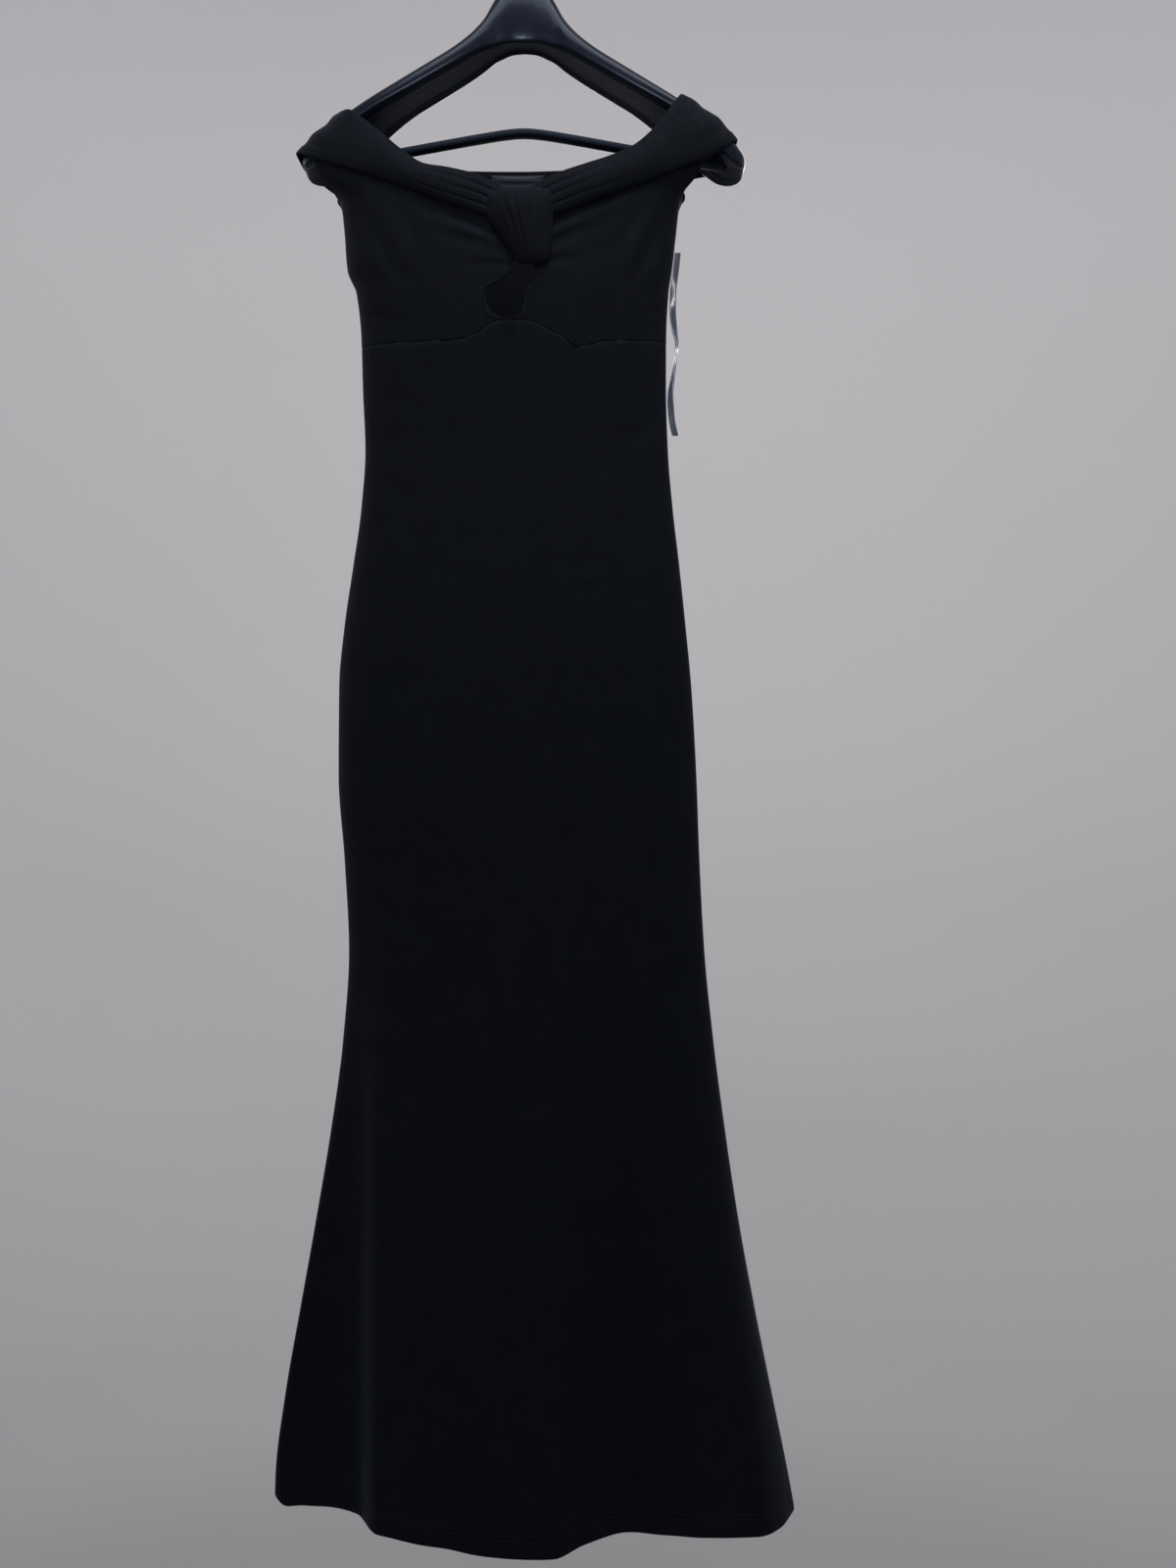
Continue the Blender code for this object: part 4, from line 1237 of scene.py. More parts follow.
@dataclass
class FrontSkirt(LongPanel):
    """The front panel from the under-bust seam to the hem."""

    name: str = "front_skirt_cloth"
    node: str = "front_skirt"
    seam_depth: float = 0.00025
    flat: Pair = (0.560, 1.205)
    flat_area: float = 0.52
    creases: tuple[Crease, ...] = table(
        Crease,
        (-0.150, -0.995, -0.146, -1.560, 0.026, -0.0004, Fade.IN, 0.004),
        (-0.205, -1.250, -0.222, -1.560, 0.014, 0.0026, Fade.IN, 0.003),
        (0.085, -1.080, 0.094, -1.560, 0.030, 0.0020, Fade.IN, -0.006),
        (-0.058, -1.220, -0.070, -1.580, 0.026, 0.0016, Fade.IN, 0.004),
        (0.196, -1.260, 0.232, -1.560, 0.018, -0.0020, Fade.IN, 0.004),
        (0.006, -0.470, 0.012, -1.000, 0.040, 0.0012, Fade.BOTH, 0.006),
        (-0.084, -0.600, -0.092, -1.060, 0.030, -0.0011, Fade.BOTH, 0.005),
        (0.092, -0.640, 0.098, -1.120, 0.028, 0.0011, Fade.BOTH, -0.004),
        (0.020, -0.668, 0.090, -0.655, 0.010, -0.0007, Fade.BOTH, 0.003),
        (0.000, -0.752, 0.060, -0.748, 0.009, -0.0006, Fade.BOTH, -0.002),
        (0.060, -0.700, 0.140, -0.664, 0.012, 0.0008, Fade.BOTH, 0.004),
        (-0.150, -0.560, -0.080, -0.598, 0.013, 0.0009, Fade.OUT, 0.004),
        (0.134, -0.500, 0.070, -0.540, 0.013, 0.0008, Fade.OUT, -0.004),
        (-0.148, -0.482, -0.070, -0.500, 0.010, 0.0007, Fade.OUT, 0.003),
        (-0.014, -0.428, -0.022, -0.520, 0.008, 0.0009, Fade.OUT, 0.002),
        (0.004, -0.428, 0.006, -0.500, 0.007, 0.0007, Fade.OUT, 0.0),
        (0.052, -0.446, 0.060, -0.540, 0.010, 0.0010, Fade.OUT, -0.003),
        (-0.076, -0.440, -0.082, -0.510, 0.009, 0.0006, Fade.OUT, 0.002),
    )


@dataclass
class BackPanel(LongPanel):
    """The back panel from the neck edge to the hem, cut in one."""

    half: Half = Half.BACK
    name: str = "back_cloth"
    node: str = "back_panel"
    rows: int = 235
    row_bunching: float = 1.12
    facing_rows: int = 3
    flat: Pair = (0.560, 1.375)
    flat_area: float = 0.60
    creases: tuple[Crease, ...] = table(
        Crease,
        (-0.100, -1.060, -0.104, -1.560, 0.026, 0.0024, Fade.IN, 0.005),
        (0.076, -1.100, 0.082, -1.560, 0.030, 0.0024, Fade.IN, -0.005),
        (0.020, -1.180, 0.022, -1.560, 0.022, -0.0018, Fade.IN, 0.003),
        (-0.190, -1.240, -0.212, -1.560, 0.016, -0.0020, Fade.IN, 0.004),
        (0.180, -1.260, 0.214, -1.560, 0.018, 0.0018, Fade.IN, 0.003),
        (0.000, -0.330, 0.004, -0.760, 0.030, 0.0018, Fade.BOTH, 0.004),
        (-0.070, -0.420, -0.060, -0.640, 0.018, 0.0012, Fade.BOTH, -0.005),
        (0.058, -0.440, 0.052, -0.660, 0.018, 0.0012, Fade.BOTH, 0.005),
        (-0.146, -0.500, -0.050, -0.545, 0.012, 0.0013, Fade.OUT, 0.006),
        (0.128, -0.490, 0.040, -0.540, 0.012, 0.0012, Fade.OUT, -0.006),
        (-0.148, -0.560, -0.060, -0.590, 0.014, 0.0011, Fade.OUT, 0.005),
        (0.132, -0.556, 0.050, -0.596, 0.014, 0.0012, Fade.OUT, -0.005),
        (-0.170, -0.300, -0.110, -0.400, 0.013, 0.0018, Fade.OUT, 0.006),
        (0.146, -0.300, 0.090, -0.396, 0.013, 0.0018, Fade.OUT, -0.006),
        (-0.110, -0.262, -0.070, -0.340, 0.011, 0.0012, Fade.OUT, 0.004),
        (0.094, -0.262, 0.060, -0.336, 0.011, 0.0012, Fade.OUT, -0.004),
        (-0.050, -0.900, -0.046, -1.120, 0.030, -0.0010, Fade.BOTH, 0.004),
        (0.100, -0.820, 0.104, -1.040, 0.030, -0.0010, Fade.BOTH, -0.004),
    )

    def top_line(self) -> tuple[Edge, ...]:
        """The back neck edge."""
        return self.form.back_top


@dataclass
class BustPanel(Panel):
    """One of the two bust panels, which are gathered into the knot and leave the keyhole open.

    Each has gathers out of the knot, drag lines from its armhole, and puckers at its seam.
    """

    side: Side = Side.LEFT
    flat: Pair = (0.22, 0.19)
    flat_area: float = 0.033
    columns: int = 96
    rows: int = 120
    row_bunching: float = 1.10
    edge_roll: float = 0.0012
    edge_width: float = 0.0030
    tube_half_width: float = 0.16
    stitch_inset: int = 2
    stitching: Stitching = Stitching(pitch=0.0026, length=0.0020)
    left_creases: tuple[Crease, ...] = table(
        Crease,
        (-0.026, -0.333, -0.128, -0.300, 0.0085, 0.0022, Fade.OUT, 0.004),
        (-0.022, -0.347, -0.100, -0.333, 0.0080, 0.0009, Fade.OUT, 0.003),
        (-0.016, -0.360, -0.080, -0.362, 0.0080, 0.0006, Fade.OUT, -0.002),
        (-0.030, -0.322, -0.090, -0.300, 0.0050, 0.0010, Fade.OUT, 0.002),
        (-0.018, -0.354, -0.058, -0.347, 0.0045, 0.0004, Fade.OUT, 0.001),
        (-0.145, -0.305, -0.112, -0.384, 0.0120, 0.0013, Fade.BOTH, 0.006),
        (-0.158, -0.300, -0.146, -0.352, 0.0090, 0.0011, Fade.OUT, 0.003),
        (-0.118, -0.292, -0.094, -0.350, 0.0110, 0.0007, Fade.BOTH, 0.004),
        (-0.156, -0.402, -0.100, -0.414, 0.0090, 0.0006, Fade.OUT, 0.003),
        (-0.050, -0.428, -0.054, -0.390, 0.0070, 0.0006, Fade.OUT, 0.001),
        (-0.084, -0.430, -0.090, -0.396, 0.0080, 0.0005, Fade.OUT, 0.002),
        (-0.120, -0.430, -0.124, -0.404, 0.0070, 0.0004, Fade.OUT, 0.001),
    )
    right_creases: tuple[Crease, ...] = table(
        Crease,
        (0.020, -0.328, 0.150, -0.275, 0.0085, 0.0022, Fade.OUT, -0.004),
        (0.020, -0.345, 0.090, -0.322, 0.0080, 0.0010, Fade.OUT, -0.003),
        (0.020, -0.357, 0.074, -0.352, 0.0075, 0.0007, Fade.OUT, 0.002),
        (0.030, -0.318, 0.110, -0.286, 0.0050, 0.0010, Fade.OUT, -0.002),
        (0.022, -0.351, 0.060, -0.338, 0.0045, 0.0004, Fade.OUT, -0.001),
        (0.138, -0.292, 0.103, -0.382, 0.0110, 0.0018, Fade.BOTH, -0.005),
        (0.146, -0.296, 0.134, -0.346, 0.0080, 0.0010, Fade.OUT, -0.003),
        (0.116, -0.290, 0.086, -0.356, 0.0120, 0.0008, Fade.BOTH, -0.004),
        (0.136, -0.398, 0.090, -0.410, 0.0090, 0.0006, Fade.OUT, -0.003),
        (0.036, -0.428, 0.040, -0.388, 0.0070, 0.0007, Fade.OUT, -0.001),
        (0.056, -0.436, 0.064, -0.398, 0.0070, 0.0007, Fade.OUT, -0.002),
        (0.094, -0.432, 0.100, -0.402, 0.0080, 0.0004, Fade.OUT, -0.001),
    )

    def build(self) -> Object:
        """Makes the panel and the row of stitches along its half of the keyhole.

        The keyhole's edge is rolled: its relief is the distance from the edge, over the roll's
        width, times the bell of it.

        Returns:
            The panel.
        """
        form, side = self.form, self.side.value
        is_left = self.side is Side.LEFT
        share = np.linspace(0, 1, self.columns + 1)
        middle_top = form.keyhole[-1].left
        if is_left:
            seam_across = form.seam_meets * share
            top_across = form.bust_top[0].across + (middle_top - form.bust_top[0].across) * share
        else:
            seam_across = form.seam_meets + (1 - form.seam_meets) * share
            top_across = middle_top + (form.bust_top[-1].across - middle_top) * share
        bottom = form.line(form.underbust, seam_across)
        top = form.line(form.bust_top, top_across)
        down = (np.linspace(0, 1, self.rows + 1) ** self.row_bunching)[:, None]
        level = top + (bottom - top) * down
        arm = read(form.armholes, level, "level", side)
        middle = read(form.keyhole, level, "level", side)
        start, end = (arm, middle) if is_left else (middle, arm)
        across = start + (end - start) * share
        across[-1] = seam_across
        from_hole = (1 - share) if is_left else share
        width = np.abs(end - start) * np.pi * self.tube_half_width
        near = from_hole * width / self.edge_width
        roll = self.edge_roll * near * np.exp(-(near**2))
        creases = self.left_creases if is_left else self.right_creases
        points = self.creased(across, level, creases, roll)
        piece = self.add_cloth(f"bust_{side}_cloth", f"bust_{side}", points, across)
        column = -1 - self.stitch_inset if is_left else self.stitch_inset
        shown = level[:, column] < form.keyhole[-2].level
        cloth = (points, form.outward(points, across, self.half), self.cloth)
        sew(f"keyhole_stitches_{side}", cloth, [(shown, column)], stitching=self.stitching)
        return piece


class Station(NamedTuple):
    """A station of a neck band: its neck edge, its lower edge and how far it is rounded."""

    neck_x: float
    neck_y: float
    neck_z: float
    lower_x: float
    lower_y: float
    lower_z: float
    round: float


class BandFold(NamedTuple):
    """A fold along a neck band: its place across the band at each end, its size and its reach."""

    start_place: float
    end_place: float
    width: float
    depth: float
    reach: float

    def off(self, along: Array, place: Array) -> Array:
        """The square of how far a place lies from the fold's middle, over its width."""
        middle = self.start_place + (self.end_place - self.start_place) * along
        return ((place - middle) / self.width) ** 2


@dataclass
class NeckBand:
    """The folded neck band and cap sleeve, from the knot over a shoulder to the back."""

    side: Side
    flat: Pair = (0.33, 0.055)
    flat_area: float = 0.0155
    cloth: float = 0.0015
    roll: float = 0.7
    flatness: float = 0.55
    stations_across: int = 200
    rows: int = 44
    hem_row: int = -6
    sleeve_from: float = 0.52
    sleeve_to: float = 0.90
    centre: Triple = (0.0, 0.0, -0.25)
    folds: tuple[BandFold, ...] = table(
        BandFold,
        (0.30, 0.20, 0.085, 0.0007, 0.40),
        (0.55, 0.47, 0.070, 0.0008, 0.30),
        (0.80, 0.74, 0.070, 0.0008, 0.44),
        (0.42, 0.36, 0.045, 0.0003, 0.22),
        (0.68, 0.66, 0.040, 0.0003, 0.20),
    )
    cap_middle: float = 0.72
    cap_folds: tuple[BandFold, ...] = table(
        BandFold,
        (0.14, 0.18, 0.100, -0.0012, 0.10),
        (0.38, 0.34, 0.090, 0.0010, 0.12),
        (0.60, 0.62, 0.090, -0.0011, 0.11),
        (0.84, 0.80, 0.080, 0.0009, 0.13),
    )
    left_stations: tuple[Station, ...] = table(
        Station,
        (-0.0120, -0.0367, -0.2920, -0.0160, -0.0375, -0.3200, 0.0010),
        (-0.0200, -0.0367, -0.2882, -0.0240, -0.0375, -0.3180, 0.0020),
        (-0.0448, -0.0367, -0.2770, -0.0460, -0.0374, -0.3118, 0.0040),
        (-0.0713, -0.0363, -0.2705, -0.0720, -0.0369, -0.3035, 0.0055),
        (-0.0950, -0.0351, -0.2660, -0.0980, -0.0362, -0.2935, 0.0055),
        (-0.1150, -0.0345, -0.2535, -0.1225, -0.0353, -0.2840, 0.0050),
        (-0.1350, -0.0335, -0.2365, -0.1460, -0.0343, -0.2755, 0.0040),
        (-0.1530, -0.0320, -0.2220, -0.1690, -0.0330, -0.2675, 0.0030),
        (-0.1670, -0.0285, -0.2110, -0.1900, -0.0290, -0.2605, 0.0030),
        (-0.1750, -0.0190, -0.2070, -0.2095, -0.0262, -0.2530, 0.0022),
        (-0.1778, -0.0040, -0.2000, -0.2225, -0.0110, -0.2450, 0.0014),
        (-0.1755, 0.0150, -0.2035, -0.2215, 0.0130, -0.2460, 0.0017),
        (-0.1665, 0.0290, -0.2145, -0.2080, 0.0310, -0.2530, 0.0030),
        (-0.1500, 0.0330, -0.2280, -0.1880, 0.0338, -0.2660, 0.0018),
        (-0.1280, 0.0326, -0.2370, -0.1640, 0.0325, -0.2765, 0.0006),
    )
    right_stations: tuple[Station, ...] = table(
        Station,
        (0.0060, -0.0367, -0.2910, 0.0100, -0.0375, -0.3195, 0.0010),
        (0.0120, -0.0367, -0.2870, 0.0180, -0.0375, -0.3175, 0.0020),
        (0.0346, -0.0367, -0.2758, 0.0400, -0.0374, -0.3105, 0.0040),
        (0.0600, -0.0363, -0.2670, 0.0660, -0.0369, -0.3010, 0.0055),
        (0.0830, -0.0350, -0.2590, 0.0920, -0.0358, -0.2915, 0.0055),
        (0.1040, -0.0345, -0.2500, 0.1160, -0.0346, -0.2825, 0.0050),
        (0.1226, -0.0335, -0.2351, 0.1400, -0.0334, -0.2720, 0.0040),
        (0.1370, -0.0320, -0.2175, 0.1610, -0.0310, -0.2630, 0.0035),
        (0.1470, -0.0285, -0.2030, 0.1800, -0.0285, -0.2545, 0.0040),
        (0.1535, -0.0205, -0.1915, 0.1965, -0.0262, -0.2440, 0.0042),
        (0.1555, -0.0040, -0.1865, 0.2090, -0.0110, -0.2315, 0.0042),
        (0.1535, 0.0150, -0.1905, 0.2080, 0.0130, -0.2330, 0.0035),
        (0.1440, 0.0290, -0.2040, 0.1930, 0.0310, -0.2430, 0.0035),
        (0.1270, 0.0333, -0.2210, 0.1700, 0.0338, -0.2465, 0.0018),
        (0.1080, 0.0326, -0.2350, 0.1460, 0.0325, -0.2620, 0.0006),
    )

    def relief(self, along: Array, place: Array) -> Array:
        """The folds: some start at the knot and fade with their reach, some cross the cap.

        Args:
            along: Places along the band, from 0 at the knot to 1 at the back.
            place: Places across it, from 0 at the neck edge to 1 at the lower edge.

        Returns:
            How far the folds move the cloth out at each place.
        """
        total = np.zeros(np.broadcast(along, place).shape)
        for fold in self.folds:
            off = fold.off(along, place)
            fade = 1 - smoothstep(along / fold.reach)
            total -= fold.depth * fade * (1 - 2 * off) * np.exp(-off)
        for fold in self.cap_folds:
            past = ((along - self.cap_middle) / fold.reach) ** 2
            total -= fold.depth * np.exp(-past - fold.off(along, place))
        return total

    def build(self) -> Object:
        """Makes the band and the stitches along the sleeve's hem.

        The band is a ruled strip between its two edges. It is pushed out by the station's rounding
        times the sine of pi times the place across it, to the power of the roll, and then by its
        folds. It is flatter near the knot.

        Returns:
            The band.
        """
        stations = self.left_stations if self.side is Side.LEFT else self.right_stations
        knots = np.arange(len(stations), dtype=float)
        at = np.linspace(0, knots[-1], self.stations_across)
        columns = np.stack([limited_cubic(at, knots, c) for c in np.array(stations).T], -1)
        neck, lower, rounding = columns[:, :3], columns[:, 3:6], columns[:, 6]
        place = np.linspace(0, 1, self.rows)[:, None]
        easing = smoothstep(at / knots[-1] * 2)
        rounding = rounding * (self.flatness + (1 - self.flatness) * easing)
        flat = neck + (lower - neck) * place[..., None]
        outward = grid_normals(flat)
        if (outward * (flat - np.array(self.centre))).sum() < 0:
            outward = -outward
        bulge = np.clip(np.sin(np.pi * place), 0, 1) ** self.roll * rounding
        points = flat + outward * bulge[..., None]
        facing = grid_normals(points)
        facing *= np.sign((facing * outward).sum(-1, keepdims=True))
        fold = self.relief((at / knots[-1])[None, :], place) * np.sin(np.pi * place) ** 0.5
        wall = cloth_wall(points, facing, self.cloth, fold)
        side = self.side.value
        piece = add_piece(f"band_{side}_cloth", wall, CrepeFinish(), Slot.CREPE, f"band_{side}")
        ends = [int(share * self.stations_across) for share in (self.sleeve_from, self.sleeve_to)]
        sew(f"sleeve_stitches_{side}", (points, facing, self.cloth), [(self.hem_row, slice(*ends))])
        return piece


class Bulge(NamedTuple):
    """One level of the knot: its middle, half its width and how far it stands out."""

    level: float
    centre: float
    half_width: float
    depth: float


@dataclass
class Knot:
    """The twist of the two bands at the centre front: a soft wedge with slanting folds."""

    rows: int = 90
    columns: int = 96
    back_every: int = 6
    back_top: float = -0.0388
    back_low: float = -0.0364
    left_rounding: float = 1.60
    right_rounding: float = 1.35
    bulges: tuple[Bulge, ...] = table(
        Bulge,
        (-0.2905, -0.0010, 0.0187, 0.0021),
        (-0.2950, -0.0015, 0.0288, 0.0056),
        (-0.3030, -0.0025, 0.0330, 0.0078),
        (-0.3130, -0.0025, 0.0324, 0.0088),
        (-0.3260, 0.0005, 0.0288, 0.0086),
        (-0.3390, 0.0045, 0.0242, 0.0078),
        (-0.3510, 0.0080, 0.0196, 0.0065),
        (-0.3595, 0.0090, 0.0154, 0.0045),
        (-0.3635, 0.0092, 0.0088, 0.0021),
    )
    creases: tuple[Crease, ...] = table(
        Crease,
        (0.0190, -0.2960, 0.0215, -0.3560, 0.0028, 0.0012, Fade.BOTH, 0.0030),
        (-0.0200, -0.3000, -0.0010, -0.3620, 0.0034, 0.0009, Fade.BOTH, -0.0020),
        (-0.0080, -0.2950, 0.0060, -0.3600, 0.0030, 0.0008, Fade.BOTH, 0.0016),
        (0.0060, -0.2940, 0.0130, -0.3580, 0.0026, 0.0006, Fade.BOTH, 0.0022),
        (-0.0270, -0.3080, -0.0080, -0.3500, 0.0026, 0.0005, Fade.BOTH, -0.0016),
        (0.0130, -0.3000, 0.0175, -0.3500, 0.0018, -0.0003, Fade.BOTH, 0.0016),
    )

    def build(self) -> Object:
        """Makes the knot.

        Round each level it is half a ring whose depth is the bulge's depth times the sine of the
        turn to the power of the side's rounding, in front of a back that leans in downwards. The
        creases press into its front.

        Returns:
            The knot.
        """
        levels = np.linspace(self.bulges[0].level, self.bulges[-1].level, self.rows)
        turn = np.linspace(0, np.pi, self.columns)
        names = ("centre", "half_width", "depth")
        centre, half, depth = (read(self.bulges, levels, "level", name)[:, None] for name in names)
        rounding = np.where(turn < np.pi / 2, self.left_rounding, self.right_rounding)
        out = np.clip(np.sin(turn), 0, 1) ** rounding
        x = centre - half * np.cos(turn)
        z = levels[:, None] + 0 * x
        fold = crease_relief(x, z, self.creases) * out * depth / max(b.depth for b in self.bulges)
        back = np.linspace(self.back_top, self.back_low, self.rows)[:, None]
        front = np.stack([x, back - depth * out - fold, z], axis=-1)
        behind = front[:, -2 : 0 : -self.back_every].copy()
        behind[..., 1] = back
        wedge = swept(np.concatenate([front, behind], axis=1))
        return add_piece("knot_cloth", wedge, CrepeFinish(), Slot.CREPE, "knot")


@dataclass
class NeckLabel:
    """A bare satin label sewn inside the back neck."""

    form: BodyForm
    flat: Pair = (0.057, 0.019)
    width: float = 0.055
    height: float = 0.018
    centre: float = -0.0085
    top: float = -0.2470
    bow: float = 0.0006
    cloth: float = 0.0006
    inside: float = 0.0034
    swell: float = 0.0013
    swell_at: float = 0.25
    swell_spread: float = 0.17
    columns: int = 45
    rows: int = 17
    end_columns: tuple[int, int] = (1, -2)
    stitching: Stitching = Stitching(pitch=0.0022, length=0.0017, radius=0.00018)

    def build(self) -> Object:
        """Makes the label and its end stitches.

        The label lies on the back panel's own surface, moved in. It swells in a bell round a
        quarter of its height, which dies away towards its ends.

        Returns:
            The label.
        """
        across = np.linspace(-0.5, 0.5, self.columns)
        down = np.linspace(0, 1, self.rows)[:, None]
        x, level = np.broadcast_arrays(
            self.centre + self.width * across,
            self.top - self.height * down + self.bow * (2 * across) ** 2,
        )
        left, right = self.form.ring(level, "left"), self.form.ring(level, "right")
        place = 0.5 + np.arcsin(share_between(x, left, right)) / np.pi
        points = self.form.points(place, level, Half.BACK)
        bell = np.exp(-(((down - self.swell_at) / self.swell_spread) ** 2))
        points[..., 1] -= self.inside + self.swell * np.cos(np.pi * across) ** 0.5 * bell
        inward = grid_normals(points)
        inward *= -np.sign(inward[..., 1:2])
        wall = cloth_wall(points, inward, self.cloth)
        piece = add_piece("label_satin", wall, SatinFinish(), Slot.SATIN, "neck_label")
        ends = [(slice(None), column) for column in self.end_columns]
        sew("label_stitches", (points, inward, self.cloth), ends, Slot.SATIN, self.stitching)
        return piece


class LoopPoint(NamedTuple):
    """A point of the hanging loop: its level, its place beside the seam, and its twist."""

    level: float
    out: float
    forward: float
    twist: float


@dataclass
class HangingLoop:
    """The clear elastic loop at the right side seam, whose two runs hang twisted together."""

    form: BodyForm
    width: float = 0.0060
    wall: float = 0.0008
    runs_apart: float = 0.0017
    route: tuple[LoopPoint, ...] = table(
        LoopPoint,
        (-0.3375, 0.0042, -0.0010, 0.0),
        (-0.3550, 0.0044, -0.0014, 6.0),
        (-0.3770, 0.0050, -0.0022, -8.0),
        (-0.4000, 0.0062, -0.0030, 8.0),
        (-0.4150, 0.0086, -0.0032, 38.0),
        (-0.4276, 0.0110, -0.0026, 70.0),
        (-0.4402, 0.0102, -0.0018, 92.0),
        (-0.4586, 0.0072, -0.0014, 112.0),
        (-0.4780, 0.0047, -0.0018, 140.0),
        (-0.4984, 0.0052, -0.0028, 172.0),
        (-0.5120, 0.0070, -0.0030, 186.0),
        (-0.5172, 0.0080, -0.0028, 190.0),
    )
    steps: int = 150
    bend_steps: int = 13
    around: int = 20
    edge_roundness: float = 0.4
    face_roundness: float = 0.7

    def path(self) -> tuple[Array, Array]:
        """The strip's middle line and the direction of its width at each point.

        The ribbon of both runs follows the route. Each run stands off it by half the gap, across
        the ribbon's width, and half a circle below the last point joins them.

        Returns:
            The points, and a unit vector for each.
        """
        levels = np.linspace(self.route[0].level, self.route[-1].level, self.steps)
        twist = np.radians(read(self.route, levels, "level", "twist"))
        x = self.form.ring(levels, "right") + read(self.route, levels, "level", "out")
        middle = np.stack([x, read(self.route, levels, "level", "forward"), levels], axis=-1)
        width = np.stack([np.cos(twist), np.sin(twist), 0 * twist], axis=-1)
        apart = unit(np.cross(width, np.gradient(middle, axis=0))) * self.runs_apart / 2
        down = unit(middle[-1] - middle[-2]) * self.runs_apart / 2
        turn = np.radians(np.linspace(0, 180, self.bend_steps)[1:-1])[:, None]
        bend = middle[-1] + apart[-1] * np.cos(turn) + down * np.sin(turn)
        ends = np.repeat(width[-1:], len(turn), axis=0)
        points = np.concatenate([middle + apart, bend, (middle - apart)[::-1]])
        return points, np.concatenate([width, ends, width[::-1]])

    def build(self) -> Object:
        """Makes the loop: a strip with rounded edges swept down beside the seam, round and back up.

        Returns:
            The loop.
        """
        path, width = self.path()
        thin = unit(np.cross(width, np.gradient(path, axis=0)))
        turn = full_turn(self.around)
        over = squared_off(np.cos(turn), self.edge_roundness) * self.width / 2
        through = squared_off(np.sin(turn), self.face_roundness) * self.wall / 2
        sections = path[:, None] + width[:, None] * over[:, None] + thin[:, None] * through[:, None]
        tape = swept(sections)
        return add_piece("loop_elastic", tape, ElasticFinish(), Slot.ELASTIC, "hanger_loop")


# ==== The hanger ====


class Arm(NamedTuple):
    """A section of the hanger at a distance from its middle."""

    x: float
    top: float
    under_front: float
    under_back: float
    depth: float


class Corner(NamedTuple):
    """A point of half an arm's section, from the underside's middle to the top's middle."""

    out: float
    up: float


